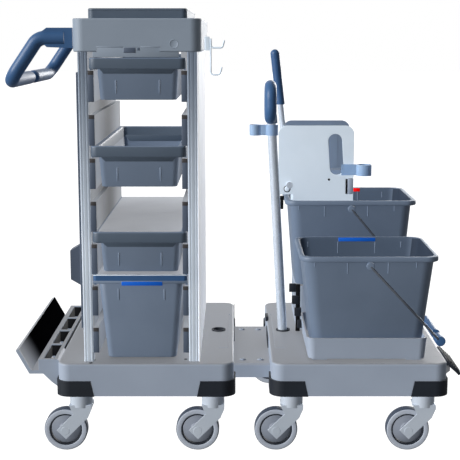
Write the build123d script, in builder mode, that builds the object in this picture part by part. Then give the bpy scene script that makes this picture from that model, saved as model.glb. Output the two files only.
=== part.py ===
"""Housekeeping cart: two castered bases, a drawer tower with tray and push handle, two buckets with a press."""

import math
import os

from build123d import *

os.makedirs("parts", exist_ok=True)

# ---- fits --------------------------------------------------------------------------------------
SEAT = 0.3             # gap under or beside a piece that lifts, slides or turns
RUNNING = 0.05         # radial clearance of a shaft in its bore

# ---- bases and casters -------------------------------------------------------------------------
BASE_W = 402.0         # width of one base, along X
BASE_D = 600.0         # depth of one base, along Y
BASE_H = 76.5
BASE_GAP = 86.0        # gap between the two bases
BASE_WALL = 4.0
BASE_R = 28.0          # plan corner radius
LEFT_X = -209.75       # centre of the left base
RIGHT_X = LEFT_X + BASE_W + BASE_GAP
WHEEL_D = 100.0
WHEEL_W = 27.0
CASTER_H = 141.0       # floor to the underside of a base
CASTER_TRAIL = 36.0
CASTER_INSET_X = 48.0
CASTER_INSET_Y = 45.0
DECK = CASTER_H + BASE_H
SOCKET_INSET = 38.5    # pole sockets, from the facing edges of the bases
SOCKET_R = 13.5
COLLAR_R = 17.5

# ---- tower -------------------------------------------------------------------------------------
TOWER_X = LEFT_X - 10.0
POST_W = 22.0
POST_SPAN = 240.0      # between post centres, along X
POST_H = 699.5
POST_INSET = 31.0      # post centre from the front and back of the base
TRAY_Z = DECK + POST_H
RAIL_T = 13.0          # how far a rail panel stands in from its posts
SLOT_PITCH = 96.5
SLOT_H = 28.0
SLOT_FIRST = 80.0      # lowest slot's ledge above the deck
SLOT_COUNT = 7
DRAWER_WALL = 2.5
DRAWER_SIDE = 31.0     # from the post centres in to a drawer's body
DRAWER_W = POST_SPAN - 2 * DRAWER_SIDE
DRAWER_H = SLOT_PITCH - 5.5
BIN_SIDE = 25.0
BIN_W = POST_SPAN - 2 * BIN_SIDE

# ---- tray, handle, rack ------------------------------------------------------------------------
TRAY_W = 282.0
TRAY_H = 72.0
TRAY_WALL = 4.0
BOX_W = 218.0
BOX_RISE = 22.0        # how far the box and its lid stand above the tray
GRIP_R = 15.5
GRIP_GAP = 30.0        # gap between the two handle grips
RACK_INSET = 38.0      # rack's ends, from the front and back of the base
RACK_D = BASE_D - 2 * RACK_INSET

# ---- buckets and press -------------------------------------------------------------------------
MAST_R = 11.5
BUCKET_WALL = 3.0
FRONT_RIM_Z = 461.0
REAR_RIM_Z = 547.0
BAIL_R = 3.0
BAIL_REACH = 240.0
LEVER_R = 8.0


def keep(part, label):
    """Label one finished piece and write it out."""
    part.label = label
    export_step(part, f"parts/{label}.step")


# ---- bases: open shells with bosses for the casters --------------------------------------------
caster_dx = BASE_W / 2 - CASTER_INSET_X
caster_dy = BASE_D / 2 - CASTER_INSET_Y
STEM_R = 8.0
BUSH_R = 14.0
BOSS_R = 22.0
MOUNT_T = 4.0
MAST_X = RIGHT_X - BASE_W / 2 + SOCKET_INSET
SOCKET_X = LEFT_X + BASE_W / 2 - SOCKET_INSET
SOCKET_DEPTH = 60.0
SOCKET_FLOOR = 4.0
DECK_R = 5.0
GROOVE = 2.0           # width and depth of the groove in the deck
GROOVE_INSET = 12.0
GROOVE_L = 330.0
GROOVE_END = 26.0      # length of the groove's turned end
PLATE_DROP = 36.0      # bridge plate below the deck
PLATE_T = 34.0
PLATE_D = 352.0
PLATE_CHAMFER = 4.0
SCREW_R = 4.2
SCREW_TIP = 4.0        # screw end above the plate's underside
SCREW_HEAD_R = 7.5
SCREW_HEAD_H = 3.0
SCREW_KEY_R = 3.2
COLLAR_LIP = 3.0       # collar above the deck


def base_shell(centre_x, inward):
    """One base: rounded shell, open below, with four caster bosses and a pole socket."""
    socket_x = centre_x + inward * (BASE_W / 2 - SOCKET_INSET)
    groove_x = centre_x + inward * (BASE_W / 2 - GROOVE_INSET)
    with BuildPart() as shell:
        with BuildSketch(Plane.XY.offset(CASTER_H)):
            with Locations((centre_x, 0)):
                RectangleRounded(BASE_W, BASE_D, BASE_R)
        extrude(amount=BASE_H)
        fillet(shell.faces().sort_by(Axis.Z)[-1].edges(), radius=DECK_R)
        with BuildSketch(Plane.XY.offset(CASTER_H)):
            with Locations((centre_x, 0)):
                RectangleRounded(BASE_W - 2 * BASE_WALL, BASE_D - 2 * BASE_WALL, BASE_R - BASE_WALL)
        extrude(amount=BASE_H - BASE_WALL, mode=Mode.SUBTRACT)
        with BuildSketch(Plane.XY.offset(CASTER_H)):
            with Locations((centre_x, 0)):
                with GridLocations(2 * caster_dx, 2 * caster_dy, 2, 2):
                    Circle(BOSS_R)
                    Circle(BUSH_R, mode=Mode.SUBTRACT)
        extrude(amount=BASE_H - BASE_WALL / 2)
        with BuildSketch(Plane.XY.offset(DECK - SOCKET_DEPTH - SOCKET_FLOOR)):
            with Locations((socket_x, 0)):
                Circle(COLLAR_R + BASE_WALL)
        extrude(amount=SOCKET_DEPTH + SOCKET_FLOOR - BASE_WALL / 2)
        with BuildSketch(Plane.XY.offset(DECK - SOCKET_DEPTH)):
            with Locations((socket_x, 0)):
                Circle(COLLAR_R)
        extrude(amount=SOCKET_DEPTH, mode=Mode.SUBTRACT)
        with BuildSketch(Plane.XY.offset(DECK - GROOVE)):
            with Locations((groove_x, 0)):
                Rectangle(GROOVE, GROOVE_L)
            with Locations((groove_x - inward * (GROOVE_END - GROOVE) / 2, -GROOVE_L / 2)):
                Rectangle(GROOVE_END, GROOVE)
        extrude(amount=GROOVE, mode=Mode.SUBTRACT)
    return shell.part


keep(base_shell(LEFT_X, 1), "base_left")
keep(base_shell(RIGHT_X, -1), "base_right")

# rubber bumpers wrap each corner of a base
BUMPER_T = 4.0
BUMPER_H = 36.0
BUMPER_RUN = 84.0
BUMPER_RAKE = 12.0     # slant of a bumper's ends, in degrees
with BuildPart() as corner_bumpers:
    for centre_x in (LEFT_X, RIGHT_X):
        with BuildSketch(Plane.XY.offset(CASTER_H)):
            with Locations((centre_x, 0)):
                RectangleRounded(BASE_W + 2 * BUMPER_T, BASE_D + 2 * BUMPER_T, BASE_R + BUMPER_T)
                RectangleRounded(BASE_W, BASE_D, BASE_R, mode=Mode.SUBTRACT)
        extrude(amount=BUMPER_H)
        with BuildSketch(Plane.XY.offset(CASTER_H)):
            with Locations((centre_x, 0)):
                Rectangle(BASE_W - 2 * BUMPER_RUN, BASE_D + 4 * BUMPER_T)
        extrude(amount=BUMPER_H, taper=-BUMPER_RAKE, mode=Mode.SUBTRACT)
        with BuildSketch(Plane.XY.offset(CASTER_H)):
            with Locations((centre_x, 0)):
                Rectangle(BASE_W + 4 * BUMPER_T, BASE_D - 2 * BUMPER_RUN)
        extrude(amount=BUMPER_H, taper=-BUMPER_RAKE, mode=Mode.SUBTRACT)
keep(corner_bumpers.part, "corner_bumpers")

# bridge plate that ties the two bases, with its screws
bridge_x = (LEFT_X + RIGHT_X) / 2
plate_top = DECK - PLATE_DROP
screw_row = 4 * PLATE_D / 5
with BuildPart() as bridge_plate:
    with BuildSketch(Plane.XY.offset(plate_top - PLATE_T)):
        with Locations((bridge_x, 0)):
            Rectangle(BASE_GAP, PLATE_D)
    extrude(amount=PLATE_T)
    chamfer(bridge_plate.faces().sort_by(Axis.Z)[-1].edges().filter_by(Axis.X), length=PLATE_CHAMFER)
    with BuildSketch(Plane.XY.offset(plate_top - PLATE_T)):
        with Locations((bridge_x, 0)):
            with GridLocations(BASE_GAP / 2, screw_row, 2, 2):
                Circle(SCREW_R)
    extrude(amount=PLATE_T, mode=Mode.SUBTRACT)
keep(bridge_plate.part, "bridge_plate")

with BuildPart() as bridge_screws:
    with BuildSketch(Plane.XY.offset(plate_top - PLATE_T + SCREW_TIP)):
        with Locations((bridge_x, 0)):
            with GridLocations(BASE_GAP / 2, screw_row, 2, 2):
                Circle(SCREW_R)
    extrude(amount=PLATE_T - SCREW_TIP)
    with BuildSketch(Plane.XY.offset(plate_top)):
        with Locations((bridge_x, 0)):
            with GridLocations(BASE_GAP / 2, screw_row, 2, 2):
                Circle(SCREW_HEAD_R)
                RegularPolygon(SCREW_KEY_R, 6, mode=Mode.SUBTRACT)
    extrude(amount=SCREW_HEAD_H)
keep(bridge_screws.part, "bridge_screws")

# rubber collars that line the two pole sockets
with BuildPart() as socket_collars:
    for socket_x in (SOCKET_X, MAST_X):
        with BuildSketch(Plane.XY.offset(DECK - SOCKET_DEPTH)):
            with Locations((socket_x, 0)):
                Circle(COLLAR_R)
                Circle(SOCKET_R, mode=Mode.SUBTRACT)
        extrude(amount=SOCKET_DEPTH + COLLAR_LIP)
keep(socket_collars.part, "socket_collars")

# ---- casters: bush in the base, swivel fork, wheel ---------------------------------------------
AXLE_Z = WHEEL_D / 2
TYRE_T = 13.0
TYRE_R = 3.0
HUB_W = 31.0
HUB_R = 11.0
DISH = 4.0             # how far the wheel's disc lies inside its tyre
AXLE_R = 5.0
CAP_R = 9.5
CAP_PROUD = 1.5
FORK_W = 46.0
LEG_T = 4.5
LEG_HALF = 15.0        # half the width of a fork leg
LEG_END = 13.0         # leg past the axle
CROWN_R = 26.0
CROWN_GAP = 6.0        # between the wheel and the crown
NECK_HALF = 17.0       # half the width of the neck under the crown
NECK_LAP = 6.0
NECK_STEP = 3.0
BUSH_L = 40.0
STEM_L = 36.0
crown_top = CASTER_H - MOUNT_T - SEAT
crown_low = WHEEL_D + CROWN_GAP
slope = math.sqrt(0.5)
caster_spots = []
for centre_x in (LEFT_X, RIGHT_X):
    for side_x in (-1, 1):
        for side_y in (-1, 1):
            caster_spots.append((centre_x + side_x * caster_dx, side_y * caster_dy))

with BuildPart() as caster_bushes:
    for spot in caster_spots:
        with BuildSketch(Plane.XY.offset(CASTER_H - MOUNT_T)):
            with Locations(spot):
                Circle(CROWN_R)
                Circle(STEM_R + RUNNING, mode=Mode.SUBTRACT)
        extrude(amount=MOUNT_T)
        with BuildSketch(Plane.XY.offset(CASTER_H)):
            with Locations(spot):
                Circle(BUSH_R)
                Circle(STEM_R + RUNNING, mode=Mode.SUBTRACT)
        extrude(amount=BUSH_L)
keep(caster_bushes.part, "caster_bushes")


def caster_fork(stem_x, stem_y):
    """Swivel fork: stem, round crown and two legs that trail down to the axle, with its axle."""
    axle_x = stem_x - CASTER_TRAIL
    end_x = axle_x - LEG_END * slope
    end_z = AXLE_Z - LEG_END * slope
    edge = LEG_HALF * slope
    outline = [
        (end_x - edge, end_z + edge),
        (end_x + edge, end_z - edge),
        (stem_x + NECK_HALF, end_z - edge + (stem_x + NECK_HALF - end_x - edge)),
        (stem_x + CROWN_R, crown_low - NECK_STEP),
        (stem_x + CROWN_R, crown_low + NECK_LAP),
        (stem_x - CROWN_R, crown_low + NECK_LAP),
        (stem_x - NECK_HALF, end_z + edge + (stem_x - NECK_HALF - end_x + edge)),
    ]
    with BuildPart() as fork:
        with BuildSketch(Plane.XZ.offset(-stem_y)):
            with BuildLine():
                Polyline(*outline, close=True)
            make_face()
        extrude(amount=FORK_W / 2, both=True)
        with BuildSketch(Plane.XZ.offset(-stem_y)):
            with Locations((axle_x, AXLE_Z)):
                Circle(CAP_R)
        extrude(amount=FORK_W / 2 + CAP_PROUD, both=True)
        with BuildSketch(Plane.XZ.offset(-stem_y)):
            with Locations((stem_x, crown_low / 2)):
                Rectangle(3 * WHEEL_D, crown_low)
        extrude(amount=FORK_W / 2 - LEG_T, both=True, mode=Mode.SUBTRACT)
        with BuildSketch(Plane.XY.offset(crown_low)):
            with Locations((stem_x, stem_y)):
                Circle(CROWN_R)
        extrude(amount=crown_top - crown_low)
        with BuildSketch(Plane.XY.offset(crown_top)):
            with Locations((stem_x, stem_y)):
                Circle(STEM_R)
        extrude(amount=MOUNT_T + STEM_L)
        with BuildSketch(Plane.XZ.offset(-stem_y)):
            with Locations((axle_x, AXLE_Z)):
                Circle(AXLE_R)
        extrude(amount=FORK_W / 2, both=True)
    return fork.part


def caster_wheel(axle_x, axle_y):
    """Wheel: hub bored for the axle, with a separate tyre bonded round it."""
    with BuildPart() as wheel:
        with BuildSketch(Plane.XZ.offset(-axle_y)):
            with Locations((axle_x, AXLE_Z)):
                Circle(WHEEL_D / 2 - TYRE_T)
                Circle(AXLE_R + RUNNING, mode=Mode.SUBTRACT)
        extrude(amount=WHEEL_W / 2 - DISH, both=True)
        with BuildSketch(Plane.XZ.offset(-axle_y)):
            with Locations((axle_x, AXLE_Z)):
                Circle(HUB_R)
                Circle(AXLE_R + RUNNING, mode=Mode.SUBTRACT)
        extrude(amount=HUB_W / 2, both=True)
    with BuildPart() as tyre:
        with BuildSketch(Plane.XZ.offset(-axle_y)):
            with Locations((axle_x, AXLE_Z)):
                Circle(WHEEL_D / 2)
                Circle(WHEEL_D / 2 - TYRE_T, mode=Mode.SUBTRACT)
        extrude(amount=WHEEL_W / 2, both=True)
        fillet(tyre.edges().filter_by(GeomType.CIRCLE).group_by(SortBy.LENGTH)[-1], radius=TYRE_R)
    return Compound(children=[wheel.part, tyre.part])


for number, (stem_x, stem_y) in enumerate(caster_spots, start=1):
    keep(caster_fork(stem_x, stem_y), f"caster_fork_{number}")
    keep(caster_wheel(stem_x - CASTER_TRAIL, stem_y), f"caster_wheel_{number}")

# ---- tower: posts, rail panels, side panels ----------------------------------------------------
post_y = BASE_D / 2 - POST_INSET
post_out = POST_SPAN / 2 + POST_W / 2
post_in = POST_SPAN / 2 - POST_W / 2
panel_d = 2 * post_y + POST_W
RAIL_FOOT = 21.0
RAIL_SKIN = 2.0
POST_R = 3.0
POST_SKIN = 2.5
FLUTE_X = 4.5          # flutes in the posts' front and back faces
FLUTE_W = 3.0
FLUTE_T = 2.4
with BuildPart() as tower_posts:
    with BuildSketch(Plane.XY.offset(DECK)):
        with Locations((TOWER_X, 0)):
            with GridLocations(POST_SPAN, 2 * post_y, 2, 2):
                RectangleRounded(POST_W, POST_W, POST_R)
                RectangleRounded(POST_W - 2 * POST_SKIN, POST_W - 2 * POST_SKIN, POST_R / 2, mode=Mode.SUBTRACT)
                with GridLocations(2 * FLUTE_X, POST_W, 2, 2):
                    Rectangle(FLUTE_W, FLUTE_T, mode=Mode.SUBTRACT)
    extrude(amount=POST_H)
keep(tower_posts.part, "tower_posts")


def slot_ledge(step):
    """Height of the ledge in slot number step, counted from the lowest."""
    return DECK + SLOT_FIRST + SLOT_PITCH * step


def rail_panel(side):
    """Inner panel between the posts, with a row of open slots that carry the drawers' rims."""
    panel_x = TOWER_X + side * (post_in - RAIL_T / 2)
    low = DECK + RAIL_FOOT
    with BuildPart() as panel:
        with BuildSketch(Plane.XY.offset(low)):
            with Locations((panel_x, 0)):
                Rectangle(RAIL_T, panel_d)
        extrude(amount=TRAY_Z - low)
        for step in range(SLOT_COUNT):
            with BuildSketch(Plane.XY.offset(slot_ledge(step))):
                with Locations((panel_x - side * RAIL_SKIN, 0)):
                    Rectangle(RAIL_T, panel_d + RAIL_SKIN)
            extrude(amount=SLOT_H, mode=Mode.SUBTRACT)
    return panel.part


keep(rail_panel(-1), "rail_panel_left")
keep(rail_panel(1), "rail_panel_right")

# outer covers of the tower, on the outside of the posts
COVER_T = 3.0
LEFT_COVER_T = 6.5
LEFT_COVER_LOW = 75.0
LEFT_COVER_DROP = 45.0
LEFT_COVER_INSET = 15.0
LEFT_COVER_R = 2.0
with BuildPart() as side_panel_right:
    with BuildSketch(Plane.XY.offset(DECK)):
        with Locations((TOWER_X + post_out + COVER_T / 2, 0)):
            Rectangle(COVER_T, panel_d)
    extrude(amount=POST_H)
keep(side_panel_right.part, "side_panel_right")

BRACKET_LOW = 393.0
BRACKET_TOP = 485.0
BRACKET_SLOPE = 13.0
BRACKET_OUT = 22.0
BRACKET_D = 34.0
BRACKET_INSET = 40.0
cover_face_x = TOWER_X - post_out - LEFT_COVER_T
with BuildPart() as side_panel_left:
    with BuildSketch(Plane.XY.offset(DECK + LEFT_COVER_LOW)):
        with Locations((TOWER_X - post_out - LEFT_COVER_T / 2, 0)):
            Rectangle(LEFT_COVER_T, panel_d - 2 * LEFT_COVER_INSET)
    extrude(amount=POST_H - LEFT_COVER_LOW - LEFT_COVER_DROP)
    fillet(side_panel_left.edges().filter_by(Axis.Z), radius=LEFT_COVER_R)
    with BuildSketch(Plane.XZ.offset(post_y - BRACKET_INSET)):
        with BuildLine():
            Polyline(
                (cover_face_x, BRACKET_LOW),
                (cover_face_x, BRACKET_TOP),
                (cover_face_x - BRACKET_OUT, BRACKET_TOP - BRACKET_SLOPE),
                (cover_face_x - BRACKET_OUT, BRACKET_LOW + BRACKET_SLOPE),
                close=True,
            )
        make_face()
    extrude(amount=BRACKET_D)
keep(side_panel_left.part, "side_panel_left")

# ---- top tray and its lidded box ---------------------------------------------------------------
TRAY_INSET = 10.0      # tray's ends, from the front and back of the base
TRAY_FLOOR = 30.0
TRAY_R = 24.0
TRAY_EDGE_R = 3.0
TRAY_LEDGE = 3.0
SKIRT_X = 8.0
SKIRT_Y = 12.0
NOTCH_X = -19.0        # finger notch under the tray's front edge
NOTCH_W = 136.0
NOTCH_D = 13.0
NOTCH_H = 10.5
BOX_INSET = 30.0
BOX_R = 12.0
tray_d = BASE_D - 2 * TRAY_INSET
box_d = tray_d - 2 * BOX_INSET
box_top = TRAY_Z + TRAY_H + BOX_RISE
LID_T = 5.0
BOX_WALL = 3.0
HINGE_R = 4.0
tray_rim = TRAY_WALL + TRAY_LEDGE
with BuildPart() as top_tray:
    with BuildSketch(Plane.XY.offset(TRAY_Z)):
        with Locations((TOWER_X, 0)):
            RectangleRounded(TRAY_W, tray_d, TRAY_R)
    extrude(amount=TRAY_H)
    fillet(top_tray.faces().sort_by(Axis.Z)[0].edges(), radius=TRAY_EDGE_R)
    fillet(top_tray.faces().sort_by(Axis.Z)[-1].edges(), radius=TRAY_EDGE_R)
    with BuildSketch(Plane.XY.offset(TRAY_Z + TRAY_FLOOR)):
        with Locations((TOWER_X, 0)):
            RectangleRounded(TRAY_W - 2 * tray_rim, tray_d - 2 * tray_rim, TRAY_R - 2 * TRAY_LEDGE)
    extrude(amount=TRAY_H, mode=Mode.SUBTRACT)
    with BuildSketch(Plane.XY.offset(TRAY_Z)):
        with Locations((TOWER_X, 0)):
            Rectangle(2 * (post_in - RAIL_T - SKIRT_X), tray_d - 2 * SKIRT_Y)
    extrude(amount=TRAY_FLOOR - TRAY_WALL, mode=Mode.SUBTRACT)
    with BuildSketch(Plane.XY.offset(TRAY_Z)):
        with Locations((TOWER_X + NOTCH_X, -tray_d / 2)):
            Rectangle(NOTCH_W, 2 * NOTCH_D)
    extrude(amount=NOTCH_H, mode=Mode.SUBTRACT)
keep(top_tray.part, "top_tray")

HINGE_PIN_R = 2.0
KNUCKLE_L = 40.0
KNUCKLE_GAP = 0.4
KNUCKLE_STEP = 1.0     # hinge barrel, out from the box
hinge_y = box_d / 2 + HINGE_R + KNUCKLE_STEP
hinge_z = box_top - LID_T
with BuildPart() as top_box:
    with BuildSketch(Plane.XY.offset(TRAY_Z + TRAY_FLOOR)):
        with Locations((TOWER_X, 0)):
            RectangleRounded(BOX_W, box_d, BOX_R)
    extrude(amount=TRAY_H + BOX_RISE - TRAY_FLOOR - LID_T - SEAT)
    with BuildSketch(Plane.YZ.offset(TOWER_X)):
        with Locations((hinge_y, hinge_z)):
            Circle(HINGE_R)
        with Locations((hinge_y - HINGE_R, hinge_z - HINGE_R)):
            Rectangle(2 * HINGE_R, 2 * HINGE_R - 2 * SEAT)
    extrude(amount=1.5 * KNUCKLE_L, both=True)
    with BuildSketch(Plane.YZ.offset(TOWER_X)):
        with Locations((hinge_y, hinge_z)):
            Rectangle(2 * HINGE_R + 1.5 * KNUCKLE_STEP, 8 * HINGE_R)
    extrude(amount=KNUCKLE_L / 2 + KNUCKLE_GAP, both=True, mode=Mode.SUBTRACT)
    with BuildSketch(Plane.YZ.offset(TOWER_X)):
        with Locations((hinge_y, hinge_z)):
            Circle(HINGE_PIN_R)
    extrude(amount=KNUCKLE_L, both=True)
    with BuildSketch(Plane.XY.offset(TRAY_Z + TRAY_FLOOR + BOX_WALL)):
        with Locations((TOWER_X, 0)):
            RectangleRounded(BOX_W - 2 * BOX_WALL, box_d - 2 * BOX_WALL, BOX_R - BOX_WALL)
    extrude(amount=TRAY_H + BOX_RISE, mode=Mode.SUBTRACT)
keep(top_box.part, "top_box")

LID_LIP = 6.0
LIP_GAP = 1.5          # lip inside the box's walls
LIP_T = 2.5
LEAF_T = 3.0
lip_w = BOX_W - 2 * (BOX_WALL + LIP_GAP)
lip_d = box_d - 2 * (BOX_WALL + LIP_GAP)
lip_r = BOX_R - BOX_WALL - LIP_GAP
with BuildPart() as top_box_lid:
    with BuildSketch(Plane.XY.offset(box_top - LID_T)):
        with Locations((TOWER_X, 0)):
            RectangleRounded(BOX_W, box_d, BOX_R)
    extrude(amount=LID_T)
    fillet(top_box_lid.faces().sort_by(Axis.Z)[-1].edges(), radius=LEAF_T)
    with BuildSketch(Plane.XY.offset(box_top - LID_T - LID_LIP)):
        with Locations((TOWER_X, 0)):
            RectangleRounded(lip_w, lip_d, lip_r)
            RectangleRounded(lip_w - 2 * LIP_T, lip_d - 2 * LIP_T, lip_r - LIP_T, mode=Mode.SUBTRACT)
    extrude(amount=LID_LIP + LID_T / 2)
    with BuildSketch(Plane.YZ.offset(TOWER_X)):
        with Locations((hinge_y, hinge_z)):
            Circle(HINGE_R)
        with Locations((hinge_y - HINGE_R, hinge_z + LID_T / 2)):
            Rectangle(2 * HINGE_R, LEAF_T)
        with Locations((hinge_y, hinge_z)):
            Circle(HINGE_PIN_R + RUNNING, mode=Mode.SUBTRACT)
    extrude(amount=KNUCKLE_L / 2, both=True)
keep(top_box_lid.part, "top_box_lid")

# ---- push handle: two arms whose grips turn in towards each other -------------------------------
ARM_INSET = 30.0       # arms, from the front and back of the base
ARM_RISE = 30.0        # arm centre above the tray's underside
ARM_FOOT = 18.0        # sleeve that joins the arm to the tray
ARM_REACH = 76.0
GRIP_REACH = 141.0
GRIP_DROP = 64.0
GUSSET_T = 16.0
GUSSET_RUN = 20.0
GUSSET_HALF = 22.0
GUSSET_TIP = 6.0
ARM_BEND_R = 30.0
GRIP_BEND_R = 34.0
ARM_Y = BASE_D / 2 - ARM_INSET
tray_left = TOWER_X - TRAY_W / 2
arm_top_z = TRAY_Z + ARM_RISE
arm_bend_x = tray_left - ARM_REACH
arm_foot_x = tray_left - ARM_FOOT
grip_turn_x = tray_left - GRIP_REACH
grip_z = TRAY_Z - GRIP_DROP
grip_end_y = -GRIP_GAP / 2 - GRIP_R
with BuildPart() as push_handle_front:
    with BuildSketch(Plane.XZ.offset(ARM_Y)):
        with BuildLine():
            Polyline(
                (tray_left, arm_top_z - GUSSET_HALF),
                (tray_left, arm_top_z + GUSSET_HALF),
                (arm_bend_x + GUSSET_RUN, arm_top_z + GUSSET_HALF),
                (arm_bend_x - GUSSET_TIP, arm_top_z + GUSSET_TIP / 2),
                (arm_bend_x + GUSSET_RUN, arm_top_z - GUSSET_RUN),
                close=True,
            )
        make_face()
    extrude(amount=GUSSET_T / 2, both=True)
    with BuildLine():
        FilletPolyline(
            (arm_foot_x, -ARM_Y, arm_top_z),
            (arm_bend_x, -ARM_Y, arm_top_z),
            (grip_turn_x, -ARM_Y, grip_z),
            (grip_turn_x, grip_end_y, grip_z),
            radius=[ARM_BEND_R, GRIP_BEND_R],
        )
    with BuildSketch(Plane.YZ.offset(arm_foot_x)):
        with Locations((-ARM_Y, arm_top_z)):
            Circle(GRIP_R)
    sweep()
    with Locations((grip_turn_x, grip_end_y, grip_z)):
        Sphere(GRIP_R)
keep(push_handle_front.part, "push_handle_front")

with BuildPart() as push_handle_rear:
    add(push_handle_front.part.mirror(Plane.XZ))
keep(push_handle_rear.part, "push_handle_rear")

# ---- side rack with a flared flap and four pockets ----------------------------------------------
edge_x = LEFT_X - BASE_W / 2
POCKETS = 4
POCKET_WALL = 8.0
POCKET_DEEP = 46.0
POCKET_OUT = 38.0      # pockets' outer side, from the base's edge
POCKET_IN = 12.0
SEAL_W = 5.0
SEAL_H = 22.0
SEAL_SHARE = 0.62
FLAP_REACH = 100.0
FLAP_RISE = 20.5
TROUGH_OUT = 70.0
TROUGH_T = 8.0
TROUGH_DEEP = 26.5
TROUGH_IN = 48.0
FLAP_SKIN_X = 4.7
FLAP_TIP = 7.0
HEEL_Z = DECK - 53.5
BACK_H = 65.0
rack_half = RACK_D / 2
hung_x = edge_x - BUMPER_T - SEAT
sill_z = CASTER_H + BUMPER_H + 2
trough_low = DECK - TROUGH_DEEP - TROUGH_T
with BuildPart() as side_rack:
    with BuildSketch(Plane.XZ.offset(-rack_half)):
        with BuildLine():
            Polyline(
                (edge_x - FLAP_REACH, DECK + FLAP_RISE),
                (edge_x - TROUGH_OUT, trough_low),
                (edge_x - POCKET_OUT, trough_low),
                (edge_x - POCKET_OUT / 2, HEEL_Z),
                (hung_x, DECK - BACK_H),
                (hung_x, sill_z),
                (edge_x, sill_z),
                (edge_x, DECK - DECK_R),
                (edge_x - DECK_R, DECK),
                (edge_x - TROUGH_IN, DECK),
                (edge_x - TROUGH_IN, DECK - TROUGH_DEEP),
                (edge_x - TROUGH_OUT + FLAP_SKIN_X, DECK - TROUGH_DEEP),
                (edge_x - FLAP_REACH + FLAP_TIP, DECK + FLAP_RISE + FLAP_TIP / 2),
                close=True,
            )
        make_face()
    extrude(amount=RACK_D)
    pocket_pitch = (RACK_D - POCKET_WALL) / POCKETS
    for number in range(POCKETS):
        pocket_end = rack_half - POCKET_WALL - pocket_pitch * number
        with BuildSketch(Plane.XZ.offset(-pocket_end)):
            with BuildLine():
                Polyline(
                    (edge_x - POCKET_OUT, DECK + 1),
                    (edge_x - POCKET_IN, DECK + 1),
                    (edge_x - POCKET_IN, DECK - POCKET_DEEP),
                    (edge_x - POCKET_IN - 10, DECK - POCKET_DEEP),
                    (edge_x - POCKET_OUT, DECK - POCKET_DEEP + 16),
                    close=True,
                )
            make_face()
        extrude(amount=pocket_pitch - POCKET_WALL, mode=Mode.SUBTRACT)
    with BuildSketch(Plane.XY.offset(DECK - SEAL_H)):
        with Locations((edge_x - SEAL_W / 2, 0)):
            Rectangle(SEAL_W, RACK_D * SEAL_SHARE)
    extrude(amount=SEAL_H + 1, mode=Mode.SUBTRACT)
keep(side_rack.part, "side_rack")

# ---- hooks on the right side of the tray ---------------------------------------------------------
HOOK_BLOCK_T = 12.0
HOOK_BLOCK_W = 46.0
HOOK_BLOCK_H = 33.0
HOOK_TOP = 28.0
HOOK_TIP_H = 18.0
WIRE_R = 2.2
HOOK_Y = 19.0          # each hook to its side of the pole that stands in the left socket
HOOK_BEND_R = 7.0
tray_right = TOWER_X + TRAY_W / 2
hook_x = tray_right + HOOK_BLOCK_T
with BuildPart() as hook_bracket:
    with BuildSketch(Plane.XY.offset(TRAY_Z)):
        with Locations((tray_right + HOOK_BLOCK_T / 2, 0)):
            RectangleRounded(HOOK_BLOCK_T, HOOK_BLOCK_W, WIRE_R)
    extrude(amount=HOOK_BLOCK_H)

with BuildPart() as wire_hooks:
    for drop, reach, hook_y in ((-6, 30, HOOK_Y), (58, 24, -HOOK_Y)):
        low_z = TRAY_Z - drop
        with BuildLine(Plane.XZ.offset(-hook_y)):
            FilletPolyline(
                (hook_x + WIRE_R, TRAY_Z + HOOK_TOP),
                (hook_x + WIRE_R, low_z),
                (hook_x + reach, low_z),
                (hook_x + reach + 5, low_z + HOOK_TIP_H),
                radius=HOOK_BEND_R,
            )
        with BuildSketch(Plane.XY.offset(TRAY_Z + HOOK_TOP)):
            with Locations((hook_x + WIRE_R, hook_y)):
                Circle(WIRE_R)
        sweep()
keep(Compound(children=[hook_bracket.part, wire_hooks.part]), "tray_hooks")

# ---- drawers, covers and linen bin ---------------------------------------------------------------
RIM_GAP = 0.7          # rim to the rail panel, at each side
RIM_W = 2 * (post_in - RAIL_SKIN - RIM_GAP)
RUNNER_H = 6.5
RUNNER_W = 5.0
RUNNER_INSET = 20.0
RIM_H = SLOT_H - RUNNER_H - 1.5
RIM_SKIN = 2.5
RIM_TOP_T = 3.0
RIM_R = 8.0
DRAWER_PROUD = 5.0     # drawer fronts, out from the posts
DRAWER_INSET = 8.0     # tub inside the rim, along Y
DRAWER_R = 12.0
DRAWER_DRAFT_X = 4.5
DRAWER_DRAFT_Y = 6.0
drawer_d = panel_d + 2 * DRAWER_PROUD
tub_d = drawer_d - 2 * DRAWER_INSET


def tub(top_z, low_z, top_size, low_size, wall, corner, floor):
    """Tapered open tub standing between two heights, centred on the tower."""
    with BuildPart() as shell:
        with BuildSketch(Plane.XY.offset(low_z)):
            with Locations((TOWER_X, 0)):
                RectangleRounded(low_size[0], low_size[1], corner)
        with BuildSketch(Plane.XY.offset(top_z)):
            with Locations((TOWER_X, 0)):
                RectangleRounded(top_size[0], top_size[1], corner)
        loft()
        with BuildSketch(Plane.XY.offset(low_z + floor)):
            with Locations((TOWER_X, 0)):
                RectangleRounded(low_size[0] - 2 * wall, low_size[1] - 2 * wall, corner - wall)
        with BuildSketch(Plane.XY.offset(top_z + 0.01)):
            with Locations((TOWER_X, 0)):
                RectangleRounded(top_size[0] - 2 * wall, top_size[1] - 2 * wall, corner - wall)
        loft(mode=Mode.SUBTRACT)
    return shell.part


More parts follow.
